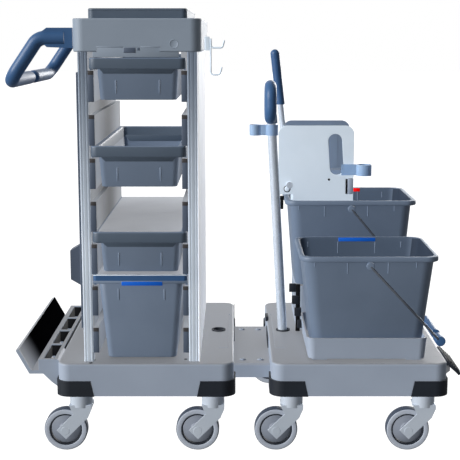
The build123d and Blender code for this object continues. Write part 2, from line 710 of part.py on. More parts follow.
def drawer(step):
    """Drawer whose rim rides in slot number step: rim frame, side runners and a tapered tub."""
    rim_z = slot_ledge(step) + RUNNER_H
    with BuildPart() as tray:
        add(tub(rim_z, rim_z + RIM_H - DRAWER_H, (DRAWER_W, tub_d),
                (DRAWER_W - 2 * DRAWER_DRAFT_X, tub_d - 2 * DRAWER_DRAFT_Y), DRAWER_WALL, DRAWER_R, DRAWER_WALL))
        with BuildSketch(Plane.XY.offset(rim_z)):
            with Locations((TOWER_X, 0)):
                RectangleRounded(RIM_W, drawer_d, RIM_R)
                RectangleRounded(DRAWER_W - 2 * DRAWER_WALL, tub_d - 2 * DRAWER_WALL, DRAWER_R - DRAWER_WALL,
                                 mode=Mode.SUBTRACT)
        extrude(amount=RIM_H)
        with BuildSketch(Plane.XY.offset(rim_z)):
            with Locations((TOWER_X, 0)):
                RectangleRounded(RIM_W - 2 * RIM_SKIN, drawer_d - 2 * RIM_SKIN, RIM_R - RIM_SKIN)
                RectangleRounded(DRAWER_W + 2 * RIM_SKIN, tub_d + 2 * RIM_SKIN, DRAWER_R, mode=Mode.SUBTRACT)
        extrude(amount=RIM_H - RIM_TOP_T, mode=Mode.SUBTRACT)
        with BuildSketch(Plane.XY.offset(slot_ledge(step) + SEAT)):
            with Locations((TOWER_X, 0)):
                with GridLocations(RIM_W - RUNNER_W, 0, 2, 1):
                    Rectangle(RUNNER_W, drawer_d - 2 * RUNNER_INSET)
        extrude(amount=RUNNER_H + RIM_H - RIM_TOP_T)
    return tray.part


for label, step in (("drawer_lower", 2), ("drawer_middle", 4), ("drawer_upper", 6)):
    keep(drawer(step), label)

# two loose plates cover the lower drawer, one behind the other
COVER_GAP = 1.5
COVER_LAP = 4.0        # cover over the drawer's edge, at each side
COVER_PLATE_T = 2.0
COVER_LIP_H = 5.0
COVER_LIP_T = 2.5
COVER_LIP_INSET = 15.0
COVER_R = 4.0
cover_z = slot_ledge(2) + RUNNER_H + RIM_H
cover_d = drawer_d / 2 - 10
lip_x = DRAWER_W - 2 * DRAWER_WALL - 3
lip_y = cover_d - 2 * COVER_LIP_INSET
with BuildPart() as drawer_covers:
    with BuildSketch(Plane.XY.offset(cover_z)):
        with Locations((TOWER_X, 0)):
            with GridLocations(0, cover_d, 1, 2):
                RectangleRounded(DRAWER_W + 2 * COVER_LAP, cover_d - COVER_GAP, COVER_R)
    extrude(amount=COVER_PLATE_T)
    with BuildSketch(Plane.XY.offset(cover_z - COVER_LIP_H)):
        with Locations((TOWER_X, 0)):
            with GridLocations(0, cover_d, 1, 2):
                RectangleRounded(lip_x, lip_y, COVER_R)
                RectangleRounded(lip_x - 2 * COVER_LIP_T, lip_y - 2 * COVER_LIP_T, COVER_R / 2, mode=Mode.SUBTRACT)
    extrude(amount=COVER_LIP_H + COVER_PLATE_T / 2)
keep(drawer_covers.part, "drawer_covers")

BIN_STEP = 1
BIN_LOW = 4.5          # bin's floor above the deck
BIN_DRAFT_X = 16.5
BIN_DRAFT_Y = 16.0
BIN_INSET = 9.0
BIN_R = 14.0
BIN_FLOOR = 3.0
LID_SEAT = 6.0         # frame's border round the lid
BIN_LID_T = 3.0
bin_rim_z = slot_ledge(BIN_STEP) + RUNNER_H
bin_d = drawer_d - 2 * BIN_INSET
with BuildPart() as linen_bin:
    add(tub(bin_rim_z, DECK + BIN_LOW, (BIN_W, bin_d), (BIN_W - 2 * BIN_DRAFT_X, bin_d - 2 * BIN_DRAFT_Y),
            DRAWER_WALL, BIN_R, BIN_FLOOR))
keep(linen_bin.part, "linen_bin")

with BuildPart() as bin_frame:
    with BuildSketch(Plane.XY.offset(bin_rim_z)):
        with Locations((TOWER_X, 0)):
            RectangleRounded(RIM_W, drawer_d, RIM_R)
            RectangleRounded(BIN_W - 2 * DRAWER_WALL, bin_d - 2 * DRAWER_WALL, BIN_R - DRAWER_WALL,
                             mode=Mode.SUBTRACT)
    extrude(amount=RIM_H)
    with BuildSketch(Plane.XY.offset(bin_rim_z + RIM_H - BIN_LID_T)):
        with Locations((TOWER_X, 0)):
            RectangleRounded(RIM_W - 2 * LID_SEAT, drawer_d - 2 * LID_SEAT, RIM_R - RIM_SKIN)
    extrude(amount=BIN_LID_T + 1, mode=Mode.SUBTRACT)
    with BuildSketch(Plane.XY.offset(slot_ledge(BIN_STEP) + SEAT)):
        with Locations((TOWER_X, 0)):
            with GridLocations(RIM_W - RUNNER_W, 0, 2, 1):
                Rectangle(RUNNER_W, drawer_d - 2 * RUNNER_INSET)
    extrude(amount=RUNNER_H)
keep(bin_frame.part, "bin_frame")

with BuildPart() as bin_lid:
    with BuildSketch(Plane.XY.offset(bin_rim_z + RIM_H - BIN_LID_T)):
        with Locations((TOWER_X, 0)):
            RectangleRounded(RIM_W - 2 * LID_SEAT - 1, drawer_d - 2 * LID_SEAT - 1, RIM_R - RIM_SKIN)
    extrude(amount=BIN_LID_T)
keep(bin_lid.part, "bin_lid")

# ---- bucket cradle on the right base ---------------------------------------------------------------
CRADLE_X = MAST_X + 180.5
CRADLE_DRAFT = 4.0
CRADLE_WALL = 4.0
CRADLE_R = 18.0
CRADLE_INSET = 8.0     # cradle tray inside the bucket's rim, along Y
FOOT_W = 34.0
FOOT_D = 20.0
FOOT_INSET = 30.0
BUCKET_FRONT = 15.0    # front bucket's rim, in from the base's front
BUCKET_GAP = 16.0
CRADLE_W = 276.0
FEET_H = 4.5
TRAY_WALL_H = 49.0
FRONT_BUCKET_D = 270.0
REAR_BUCKET_D = 263.0
front_y = -BASE_D / 2 + BUCKET_FRONT + FRONT_BUCKET_D / 2
rear_y = front_y + FRONT_BUCKET_D / 2 + BUCKET_GAP + REAR_BUCKET_D / 2
STAND_H = 112.0
cradle_z = DECK + FEET_H
cradle_d = FRONT_BUCKET_D - 2 * CRADLE_INSET


def cradle_outline(inset, corner):
    """Rounded outline of the cradle's tray, drawn in from its upper edge by inset."""
    with Locations((CRADLE_X, front_y)):
        RectangleRounded(CRADLE_W - 2 * inset, cradle_d - 2 * inset, corner)


with BuildPart() as bucket_cradle:
    with BuildSketch(Plane.XY.offset(cradle_z)):
        cradle_outline(CRADLE_DRAFT, CRADLE_R - 2)
    with BuildSketch(Plane.XY.offset(cradle_z + TRAY_WALL_H)):
        cradle_outline(0, CRADLE_R)
    loft()
    with BuildSketch(Plane.XY.offset(cradle_z + CRADLE_WALL)):
        cradle_outline(CRADLE_DRAFT + CRADLE_WALL, CRADLE_R - CRADLE_WALL - 2)
    with BuildSketch(Plane.XY.offset(cradle_z + TRAY_WALL_H + 0.01)):
        cradle_outline(CRADLE_WALL, CRADLE_R - CRADLE_WALL)
    loft(mode=Mode.SUBTRACT)
    with BuildSketch(Plane.XY.offset(DECK)):
        with Locations((CRADLE_X, front_y)):
            with GridLocations(CRADLE_W - 2 * FOOT_INSET, FRONT_BUCKET_D - 2 * FOOT_INSET, 2, 2):
                Rectangle(FOOT_W, FOOT_D)
    extrude(amount=FEET_H)

STAND_WALL = 4.0
STAND_R = 14.0
WINDOW_BAR_Y = 12.0    # bars between the stand's windows
WINDOW_BAR_Z = 9.0
stand_w = CRADLE_W + 16
stand_d = REAR_BUCKET_D - 14
with BuildPart() as rear_stand:
    with BuildSketch(Plane.XY.offset(DECK)):
        with Locations((CRADLE_X, rear_y)):
            RectangleRounded(stand_w, stand_d, STAND_R)
            RectangleRounded(stand_w - 2 * STAND_WALL, stand_d - 2 * STAND_WALL, STAND_R - STAND_WALL,
                             mode=Mode.SUBTRACT)
    extrude(amount=STAND_H)
    with BuildSketch(Plane.XY.offset(DECK + STAND_H - STAND_WALL)):
        with Locations((CRADLE_X, rear_y)):
            RectangleRounded(stand_w, stand_d, STAND_R)
    extrude(amount=STAND_WALL)
    with BuildSketch(Plane.YZ.offset(CRADLE_X)):
        with Locations((rear_y, DECK + STAND_H / 2)):
            with GridLocations(stand_d / 4, STAND_H / 3, 3, 2):
                RectangleRounded(stand_d / 4 - WINDOW_BAR_Y, STAND_H / 3 - WINDOW_BAR_Z, STAND_WALL)
    extrude(amount=CRADLE_W, both=True, mode=Mode.SUBTRACT)
keep(Compound(children=[bucket_cradle.part, rear_stand.part]), "bucket_cradle")


# ---- buckets ---------------------------------------------------------------------------------------
EAR_R = 10.0
EAR_REACH = 12.0
GRIP_OUT_R = 11.0
GRIP_L = 130.0
EAR_DROP = 20.0
EAR_BORE = 5.0
LIP_H = 12.0
RIM_CORNER_R = 28.0
BODY_R = 24.0
LOW_R = 20.0
BAIL_HOLE_R = BAIL_R + RUNNING


def bucket(centre, rim_z, low_z, rim, top, low):
    """Tapered bucket with a flared lip and an ear at each end for the bail."""
    with BuildPart() as shell:
        with BuildSketch(Plane.XY.offset(low_z)):
            with Locations(centre):
                RectangleRounded(low[0], low[1], LOW_R)
        with BuildSketch(Plane.XY.offset(rim_z)):
            with Locations(centre):
                RectangleRounded(top[0], top[1], BODY_R)
        loft()
        with BuildSketch(Plane.XY.offset(rim_z - LIP_H)):
            with Locations(centre):
                RectangleRounded(rim[0], rim[1], RIM_CORNER_R)
        extrude(amount=LIP_H)
        with BuildSketch(Plane.XY.offset(low_z + BUCKET_WALL)):
            with Locations(centre):
                RectangleRounded(low[0] - 2 * BUCKET_WALL, low[1] - 2 * BUCKET_WALL, LOW_R - BUCKET_WALL)
        with BuildSketch(Plane.XY.offset(rim_z + 0.01)):
            with Locations(centre):
                RectangleRounded(top[0] - 2 * BUCKET_WALL, top[1] - 2 * BUCKET_WALL, BODY_R - BUCKET_WALL)
        loft(mode=Mode.SUBTRACT)
        for side in (-1, 1):
            face_y = centre[1] + side * (rim[1] / 2)
            with BuildSketch(Plane.XZ.offset(-face_y)):
                with Locations((centre[0], rim_z - EAR_DROP)):
                    Circle(EAR_R)
            extrude(amount=side * EAR_REACH)
            with BuildSketch(Plane.XZ.offset(-face_y)):
                with Locations((centre[0], rim_z - EAR_DROP)):
                    Circle(BAIL_HOLE_R)
            extrude(amount=EAR_BORE, both=True, mode=Mode.SUBTRACT)
    return shell.part


FRONT_BUCKET_X = MAST_X + 183.0
REAR_BUCKET_X = MAST_X + 168.5
front_low = cradle_z + CRADLE_WALL + SEAT
rear_low = DECK + STAND_H + SEAT
front_sizes = ((315, FRONT_BUCKET_D), (299, FRONT_BUCKET_D - 18), (246, FRONT_BUCKET_D - 48))
rear_sizes = ((328, REAR_BUCKET_D), (306, REAR_BUCKET_D - 18), (272, REAR_BUCKET_D - 50))
keep(bucket((FRONT_BUCKET_X, front_y), FRONT_RIM_Z, front_low, *front_sizes), "front_bucket")
keep(bucket((REAR_BUCKET_X, rear_y), REAR_RIM_Z, rear_low, *rear_sizes), "rear_bucket")


BAIL_ENTRY = 4.5       # how far a bail's ends reach into the ears
BAIL_TURN_R = 3.3
BAIL_CORNER_R = 26.0


def bail(pivot_x, pivot_z, centre_y, depth, droop):
    """Wire bail with both ends turned into the ears, resting at an angle below level."""
    arm_y = depth / 2 + BAIL_R + 1
    tip_x = pivot_x + BAIL_REACH * math.cos(math.radians(droop))
    tip_z = pivot_z - BAIL_REACH * math.sin(math.radians(droop))
    with BuildPart() as wire:
        with BuildLine():
            FilletPolyline(
                (pivot_x, centre_y - depth / 2 + BAIL_ENTRY, pivot_z),
                (pivot_x, centre_y - arm_y, pivot_z),
                (tip_x, centre_y - arm_y, tip_z),
                (tip_x, centre_y + arm_y, tip_z),
                (pivot_x, centre_y + arm_y, pivot_z),
                (pivot_x, centre_y + depth / 2 - BAIL_ENTRY, pivot_z),
                radius=[BAIL_TURN_R, BAIL_CORNER_R, BAIL_CORNER_R, BAIL_TURN_R],
            )
        with BuildSketch(Plane.XZ.offset(-(centre_y - depth / 2 + BAIL_ENTRY))):
            with Locations((pivot_x, pivot_z)):
                Circle(BAIL_R)
        sweep()
    return wire.part


def bail_grip(pivot_x, pivot_z, centre_y, droop):
    """Ribbed grip moulded round the middle of a bail."""
    tip_x = pivot_x + BAIL_REACH * math.cos(math.radians(droop))
    tip_z = pivot_z - BAIL_REACH * math.sin(math.radians(droop))
    with BuildPart() as grip:
        with BuildSketch(Plane.XZ.offset(-centre_y)):
            with Locations((tip_x, tip_z)):
                Circle(GRIP_OUT_R)
                Circle(BAIL_R, mode=Mode.SUBTRACT)
        extrude(amount=GRIP_L / 2, both=True)
    return grip.part


FRONT_DROOP = 47.0
REAR_DROOP = 50.0
front_ear_z = FRONT_RIM_Z - EAR_DROP
rear_ear_z = REAR_RIM_Z - EAR_DROP
keep(bail(FRONT_BUCKET_X, front_ear_z, front_y, FRONT_BUCKET_D, FRONT_DROOP), "front_bail")
keep(bail_grip(FRONT_BUCKET_X, front_ear_z, front_y, FRONT_DROOP), "front_bail_grip")
keep(bail(REAR_BUCKET_X, rear_ear_z, rear_y, REAR_BUCKET_D, REAR_DROOP), "rear_bail")
keep(bail_grip(REAR_BUCKET_X, rear_ear_z, rear_y, REAR_DROOP), "rear_bail_grip")

# ---- leaning mast with a loop grip and a clip --------------------------------------------------------
MAST_LEAN = 3.3
MAST_TOP = 757.0
lean = math.tan(math.radians(MAST_LEAN))
mast_low = DECK - SOCKET_DEPTH
foot_x = MAST_X + lean * SOCKET_DEPTH / 2
mast_dir = (-math.sin(math.radians(MAST_LEAN)), 0, math.cos(math.radians(MAST_LEAN)))


def mast_centre(z):
    """X of the mast's centre line at height z."""
    return foot_x - lean * (z - mast_low)


with BuildPart() as mast:
    with BuildSketch(Plane.XY.offset(mast_low)):
        with Locations((foot_x, 0)):
            Circle(MAST_R)
    extrude(amount=(MAST_TOP - mast_low) / math.cos(math.radians(MAST_LEAN)), dir=mast_dir)
keep(mast.part, "mast")

LOOP_R = 14.0
LOOP_W = 110.0
LOOP_H = 106.0
LOOP_DROP = 18.0       # loop's lower side below the mast's top
LOOP_BEND_R = 30.0
COLLAR_DROP = 16.0
COLLAR_H = 20.0
COLLAR_WALL = 3.5
SLEEVE_DEPTH = 60.0
loop_low = MAST_TOP - LOOP_DROP
loop_x = mast_centre(MAST_TOP + LOOP_H / 3)
with BuildPart() as mast_grip:
    with BuildLine():
        FilletPolyline(
            (loop_x, 0, loop_low + LOOP_R),
            (loop_x, LOOP_W / 2 - LOOP_R, loop_low + LOOP_R),
            (loop_x, LOOP_W / 2 - LOOP_R, loop_low + LOOP_H - LOOP_R),
            (loop_x, -LOOP_W / 2 + LOOP_R, loop_low + LOOP_H - LOOP_R),
            (loop_x, -LOOP_W / 2 + LOOP_R, loop_low + LOOP_R),
            (loop_x, -SEAT, loop_low + LOOP_R),
            radius=LOOP_BEND_R,
        )
    with BuildSketch(Plane.XZ):
        with Locations((loop_x, loop_low + LOOP_R)):
            Circle(LOOP_R)
    sweep()
    with BuildSketch(Plane.XZ):
        with Locations((loop_x, loop_low + LOOP_R)):
            Circle(LOOP_R)
    extrude(amount=3, both=True)
    with BuildSketch(Plane.XY.offset(MAST_TOP - COLLAR_DROP)):
        with Locations((mast_centre(MAST_TOP - COLLAR_DROP), 0)):
            Circle(MAST_R + COLLAR_WALL)
    extrude(amount=COLLAR_H, dir=mast_dir)
    with BuildSketch(Plane.XY.offset(MAST_TOP - SLEEVE_DEPTH)):
        with Locations((mast_centre(MAST_TOP - SLEEVE_DEPTH), 0)):
            Circle(MAST_R)
    extrude(amount=SLEEVE_DEPTH / math.cos(math.radians(MAST_LEAN)), dir=mast_dir, mode=Mode.SUBTRACT)
keep(mast_grip.part, "mast_grip")

CLIP_Z = 711.0
CLIP_H = 26.0
CLIP_JAW = 15.0
CLIP_T = 3.0
CLIP_WALL = 4.0
CLIP_ARM_L = 20.0
CLIP_ARM_T = 9.0
CLIP_ARM_OUT = 22.0
CLIP_BORE = 5.0
jaw_x = CLIP_ARM_OUT + CLIP_ARM_L / 2 - 2 + CLIP_JAW - CLIP_T
clip_x = mast_centre(CLIP_Z + CLIP_H / 2)
with BuildPart() as mast_clip:
    with BuildSketch(Plane.XY.offset(CLIP_Z)):
        with Locations((clip_x, 0)):
            Circle(MAST_R + CLIP_WALL)
        with Locations((clip_x - CLIP_ARM_OUT, 0)):
            Rectangle(CLIP_ARM_L, CLIP_ARM_T)
        with Locations((clip_x - jaw_x, 0)):
            Circle(CLIP_JAW)
            Circle(CLIP_JAW - CLIP_T, mode=Mode.SUBTRACT)
            Rectangle(CLIP_JAW * 2, CLIP_JAW, mode=Mode.SUBTRACT, align=(Align.MAX, Align.CENTER))
    extrude(amount=CLIP_H)
    with BuildSketch(Plane.XY.offset(CLIP_Z - CLIP_BORE)):
        with Locations((mast_centre(CLIP_Z - CLIP_BORE), 0)):
            Circle(MAST_R)
    extrude(amount=CLIP_H + 2 * CLIP_BORE, dir=mast_dir, mode=Mode.SUBTRACT)
keep(mast_clip.part, "mast_clip")

# ---- press that hangs in the rear bucket ---------------------------------------------------------------
PRESS_W = 177.0
PRESS_TOP = 725.0
PRESS_FRONT_Y = rear_y - 13
PRESS_R = 22.0
PRESS_SHOULDER = 50.0
PRESS_COVER = 17.0     # how far the front plate hides the lever
PRESS_SILL_T = 4.0
DRAIN_R = 5.0
DRAIN_PITCH_X = 22.0
DRAIN_PITCH_Y = 20.0
HANGER_LAP = 8.0
HANGER_D = 18.0
PRESS_DEPTH = 120.0
PRESS_WALL = 5.0
PRESS_FLOOR_Z = 476.0
PRESS_NECK = 21.0      # how far the press narrows to pass inside the bucket's rim
press_left = REAR_BUCKET_X - 161.0
press_x = press_left + PRESS_W / 2
press_back_y = PRESS_FRONT_Y + PRESS_DEPTH
shoulder_z = REAR_RIM_Z + SEAT
FLANGE_T = 5.0
LEVER_PIN_R = 6.0
LEVER_TILT = 6.6
PIVOT_X = press_left + 12
PIVOT_Z = 572.0
SLOT_L = 106.0
SLOT_W = 36.0
SLOT_X = 131.0
SLOT_Z = 651.0
SLOT_TURN = 94.0
inner_w = PRESS_W - PRESS_NECK
inner_x = press_x + PRESS_NECK / 2
middle_y = PRESS_FRONT_Y + PRESS_DEPTH / 2


def press_plate(plate_y, thick, top_z, extra):
    """Upright plate of the press: wide above the bucket's rim, narrow inside it, extra further left."""
    with BuildPart() as plate:
        with BuildSketch(Plane.XZ.offset(-plate_y)):
            with Locations((press_x - extra / 2, (top_z + shoulder_z) / 2)):
                RectangleRounded(PRESS_W + extra, top_z - shoulder_z, PRESS_R)
            with Locations((press_x - extra / 2, shoulder_z + PRESS_SHOULDER / 2)):
                Rectangle(PRESS_W + extra, PRESS_SHOULDER)
            with Locations((inner_x, (shoulder_z + PRESS_FLOOR_Z) / 2)):
                Rectangle(inner_w, shoulder_z - PRESS_FLOOR_Z + 1)
        extrude(amount=-thick)
    return plate.part


with BuildPart() as press_frame:
    add(press_plate(PRESS_FRONT_Y, PRESS_WALL, PRESS_TOP, PRESS_COVER))
    with BuildSketch(Plane.XY.offset(PRESS_FLOOR_Z)):
        with Locations((inner_x, middle_y)):
            Rectangle(inner_w, PRESS_DEPTH)
            with GridLocations(DRAIN_PITCH_X, DRAIN_PITCH_Y, 6, 5):
                Circle(DRAIN_R, mode=Mode.SUBTRACT)
    extrude(amount=PRESS_SILL_T)
    for wall_x in (press_left + PRESS_NECK + PRESS_WALL / 2, press_left + PRESS_W - PRESS_WALL / 2):
        with BuildSketch(Plane.XY.offset(PRESS_FLOOR_Z)):
            with Locations((wall_x, middle_y)):
                Rectangle(PRESS_WALL, PRESS_DEPTH)
        extrude(amount=shoulder_z + FLANGE_T - PRESS_FLOOR_Z)
    with BuildSketch(Plane.XY.offset(shoulder_z)):
        with Locations((press_left + (PRESS_NECK + HANGER_LAP) / 2, middle_y)):
            Rectangle(PRESS_NECK + HANGER_LAP, PRESS_DEPTH)
        with Locations((inner_x, press_back_y + HANGER_D / 2)):
            Rectangle(inner_w, HANGER_D)
    extrude(amount=FLANGE_T)
    with BuildSketch(Plane.XZ.offset(-PRESS_FRONT_Y)):
        with Locations((press_left + SLOT_X, SLOT_Z)):
            SlotOverall(SLOT_L, SLOT_W, rotation=SLOT_TURN)
        with Locations((PIVOT_X, PIVOT_Z)):
            Circle(LEVER_PIN_R + RUNNING)
    extrude(amount=-PRESS_WALL, mode=Mode.SUBTRACT)
keep(press_frame.part, "press_frame")

with BuildPart() as press_rear_plate:
    add(press_plate(press_back_y, -FLANGE_T, PRESS_TOP + FLANGE_T, 0))
    with BuildSketch(Plane.XZ.offset(-press_back_y)):
        with Locations((press_x, (shoulder_z + PRESS_FLOOR_Z) / 2)):
            Rectangle(2 * PRESS_W, shoulder_z - PRESS_FLOOR_Z + 2 * FLANGE_T + 1)
    extrude(amount=HANGER_D, both=True, mode=Mode.SUBTRACT)
keep(press_rear_plate.part, "press_rear_plate")

# jaw that the lever drives down on the mop
JAW_D = 62.0
JAW_H = 26.0
JAW_R = 6.0
JAW_GAP = 3.0
JAW_REST_Z = 578.0
STALK_W = 90.0
STALK_T = 8.0
STALK_H = 96.0
jaw_y = press_back_y - FLANGE_T - SEAT - JAW_D / 2
with BuildPart() as press_jaw:
    with BuildSketch(Plane.XY.offset(JAW_REST_Z)):
        with Locations((inner_x, jaw_y)):
            RectangleRounded(inner_w - 2 * (PRESS_WALL + JAW_GAP), JAW_D, JAW_R)
    extrude(amount=JAW_H)
    with BuildSketch(Plane.XY.offset(JAW_REST_Z + JAW_H)):
        with Locations((inner_x, press_back_y - FLANGE_T - SEAT - STALK_T / 2)):
            Rectangle(STALK_W, STALK_T)
    extrude(amount=STALK_H)
keep(press_jaw.part, "press_jaw")

# lever: pivot pin, tube and grip
LEVER_Y = PRESS_FRONT_Y + PRESS_WALL + 22
LEVER_TOP = 918.0
LEVER_STOP = 20.0      # tube's end below the grip's
LEVER_HUB_R = 15.0
LEVER_HUB_T = 18.0
PIVOT_HEAD_R = 8.5
PIVOT_HEAD_T = 7.0
GRIP_FROM = 778.0
lever_lean = math.tan(math.radians(LEVER_TILT))
lever_dir = (-math.sin(math.radians(LEVER_TILT)), 0, math.cos(math.radians(LEVER_TILT)))
lever_cos = math.cos(math.radians(LEVER_TILT))
with BuildPart() as press_lever:
    with BuildSketch(Plane.XZ.offset(-(LEVER_Y + LEVER_HUB_T / 2))):
        with Locations((PIVOT_X, PIVOT_Z)):
            Circle(LEVER_HUB_R)
    extrude(amount=LEVER_HUB_T)
    with BuildSketch(Plane.XZ.offset(-LEVER_Y)):
        with Locations((PIVOT_X, PIVOT_Z)):
            Circle(LEVER_PIN_R)
    extrude(amount=LEVER_Y - PRESS_FRONT_Y + 2)
    with BuildSketch(Plane.XZ.offset(-(PRESS_FRONT_Y - SEAT))):
        with Locations((PIVOT_X, PIVOT_Z)):
            Circle(PIVOT_HEAD_R)
    extrude(amount=PIVOT_HEAD_T)
    with BuildSketch(Plane.XY.offset(PIVOT_Z)):
        with Locations((PIVOT_X, LEVER_Y)):
            Circle(LEVER_R)
    extrude(amount=(LEVER_TOP - LEVER_STOP - PIVOT_Z) / lever_cos, dir=lever_dir)
keep(press_lever.part, "press_lever")

GRIP_WALL = 3.5
grip_x = PIVOT_X - lever_lean * (GRIP_FROM - PIVOT_Z)
top_x = PIVOT_X - lever_lean * (LEVER_TOP - GRIP_WALL - LEVER_R - PIVOT_Z)
with BuildPart() as press_lever_grip:
    with BuildSketch(Plane.XY.offset(GRIP_FROM)):
        with Locations((grip_x, LEVER_Y)):
            Circle(LEVER_R + GRIP_WALL)
    extrude(amount=(LEVER_TOP - GRIP_FROM - LEVER_R - GRIP_WALL) / lever_cos, dir=lever_dir)
    with Locations((top_x, LEVER_Y, LEVER_TOP - LEVER_R - GRIP_WALL)):
        Sphere(LEVER_R + GRIP_WALL)
    with BuildSketch(Plane.XY.offset(PIVOT_Z)):
        with Locations((PIVOT_X, LEVER_Y)):
            Circle(LEVER_R)
    extrude(amount=(LEVER_TOP - LEVER_STOP - PIVOT_Z) / lever_cos, dir=lever_dir, mode=Mode.SUBTRACT)
keep(press_lever_grip.part, "press_lever_grip")

# clip on the press plate that holds a mop handle
PRESS_CLIP_Z = 598.0
PRESS_CLIP_H = 28.0
PRESS_CLIP_R = 20.0
PRESS_CLIP_T = 4.0
PRESS_CLIP_OUT = 26.0
CLIP_FOOT_W = 40.0
CLIP_FOOT_T = 6.0
CLIP_MOUTH = 18.0
clip_y = PRESS_FRONT_Y - CLIP_FOOT_T / 2
with BuildPart() as press_clip:
    with BuildSketch(Plane.XY.offset(PRESS_CLIP_Z)):
        with Locations((press_left + PRESS_W - 12, clip_y)):
            Rectangle(CLIP_FOOT_W, CLIP_FOOT_T)
        with Locations((press_left + PRESS_W + PRESS_CLIP_OUT, clip_y - CLIP_FOOT_T)):
            Circle(PRESS_CLIP_R)
            Circle(PRESS_CLIP_R - PRESS_CLIP_T, mode=Mode.SUBTRACT)
            with Locations((PRESS_CLIP_R - PRESS_CLIP_T, 0)):
                Rectangle(CLIP_MOUTH + 4, CLIP_MOUTH, mode=Mode.SUBTRACT)
    extrude(amount=PRESS_CLIP_H)
keep(press_clip.part, "press_clip")

# ---- brake pedal on the right edge -----------------------------------------------------------------------
PEDAL_D = 125.0
PEDAL_Y = -BASE_D / 2 + 92
PEDAL_PIN_R = 3.0
PEDAL_PIN_OUT = 7.0
PEDAL_PIN_DROP = 24.0
CHEEK_T = 8.0          # lugs of the hinge on the base
CHEEK_INSET = 14.0
CHEEK_H = 5.0
KNUCKLE_R = 6.0
KNUCKLE_INSET = 22.5
PEDAL_OUT = 38.0
PEDAL_DROP = 34.0
PEDAL_T = 10.0
pedal_edge = RIGHT_X + BASE_W / 2
pin_x = pedal_edge + PEDAL_PIN_OUT
pin_z = DECK - PEDAL_PIN_DROP
pedal_end = PEDAL_Y + PEDAL_D / 2
with BuildPart() as pedal_hinge:
    with BuildSketch(Plane.XZ.offset(-(pedal_end - CHEEK_INSET))):
        with BuildLine():
            Polyline(
                (pedal_edge, pin_z + CHEEK_H),
                (pedal_edge, pin_z - 3 * CHEEK_H),
                (pin_x + CHEEK_H, pin_z - CHEEK_H),
                (pin_x + CHEEK_H, pin_z + CHEEK_H - 1),
                (pin_x + CHEEK_H - 2, pin_z + CHEEK_H),
                close=True,
            )
        make_face()
        with Locations((pin_x, pin_z)):
            Circle(PEDAL_PIN_R, mode=Mode.SUBTRACT)
    extrude(amount=CHEEK_T)
    mirror(about=Plane.XZ.offset(-PEDAL_Y))
    with BuildSketch(Plane.XZ.offset(-(pedal_end - CHEEK_INSET))):
        with Locations((pin_x, pin_z)):
            Circle(PEDAL_PIN_R)
    extrude(amount=PEDAL_D - 2 * CHEEK_INSET)
keep(pedal_hinge.part, "pedal_hinge")

with BuildPart() as brake_pedal:
    with BuildSketch(Plane.XZ.offset(-pedal_end)):
        with BuildLine():
            Polyline(
                (pedal_edge + 2, DECK - 1),
                (pedal_edge + 8, DECK + 2),
                (pedal_edge + PEDAL_OUT, DECK - PEDAL_DROP),
                (pedal_edge + PEDAL_OUT - 3, DECK - PEDAL_DROP - PEDAL_T),
                (pedal_edge + PEDAL_OUT - 8, DECK - PEDAL_DROP - PEDAL_T + 2),
                close=True,
            )
        make_face()
    extrude(amount=PEDAL_D)
    with BuildSketch(Plane.XZ.offset(-(pedal_end - KNUCKLE_INSET))):
        with Locations((pin_x, pin_z)):
            Circle(KNUCKLE_R)
            with Locations((KNUCKLE_R - 1, KNUCKLE_R)):
                Rectangle(KNUCKLE_R + 2, 2 * KNUCKLE_R)
    extrude(amount=PEDAL_D - 2 * KNUCKLE_INSET)
    with BuildSketch(Plane.XZ.offset(-pedal_end)):
        with Locations((pin_x, pin_z)):
            Circle(PEDAL_PIN_R + RUNNING)
    extrude(amount=PEDAL_D, mode=Mode.SUBTRACT)
keep(brake_pedal.part, "brake_pedal")
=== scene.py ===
"""Housekeeping cart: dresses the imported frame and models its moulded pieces."""

import logging
import math
from dataclasses import dataclass
from enum import Enum
from typing import Callable

import bpy
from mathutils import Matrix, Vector


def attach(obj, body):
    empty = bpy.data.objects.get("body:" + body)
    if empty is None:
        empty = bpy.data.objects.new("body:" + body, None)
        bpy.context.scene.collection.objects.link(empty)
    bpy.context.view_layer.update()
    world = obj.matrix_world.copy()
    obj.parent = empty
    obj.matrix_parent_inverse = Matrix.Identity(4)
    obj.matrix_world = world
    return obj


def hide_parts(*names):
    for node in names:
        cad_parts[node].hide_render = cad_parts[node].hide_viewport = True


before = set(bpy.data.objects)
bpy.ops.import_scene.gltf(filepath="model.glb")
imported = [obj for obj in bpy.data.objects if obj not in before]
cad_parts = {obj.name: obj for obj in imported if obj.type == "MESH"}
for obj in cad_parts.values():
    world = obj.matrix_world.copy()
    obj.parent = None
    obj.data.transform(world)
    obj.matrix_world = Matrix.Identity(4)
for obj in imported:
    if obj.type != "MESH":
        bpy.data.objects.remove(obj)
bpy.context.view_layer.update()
LOG = logging.getLogger("cart")
MM = 0.001
Colour = tuple[float, float, float]
Point = tuple[float, float, float]
Piece = bpy.types.Object
Tree = bpy.types.NodeTree
Socket = bpy.types.NodeSocket
FaceTest = Callable[[bpy.types.MeshPolygon], bool]

# ---- places that several pieces share, in millimetres ----

DECK_Z = 217.5
BASE_XS = (-209.75, 278.25)
BASE_W = 402.0
LEFT_EDGE = BASE_XS[0] - BASE_W / 2
RIGHT_EDGE = BASE_XS[1] + BASE_W / 2
STEM_X = 153
STEM_Y = 255
TRAIL = 36
TOWER_X = -219.75
POST_DEPTH = 560.0
TRAY_Z = 917.0
TRAY_FRONT = -290.0
SLOT_COUNT = 7
SLOT_FIRST = 297.5
SLOT_PITCH = 96.5
SLOT_H = 28.0


def ledge(step: int) -> float:
    """Height of the ledge in one slot of the tower.

    Args:
        step: Number of the slot, counted from the lowest.

    Returns:
        Its height above the floor.
    """
    return SLOT_FIRST + SLOT_PITCH * step


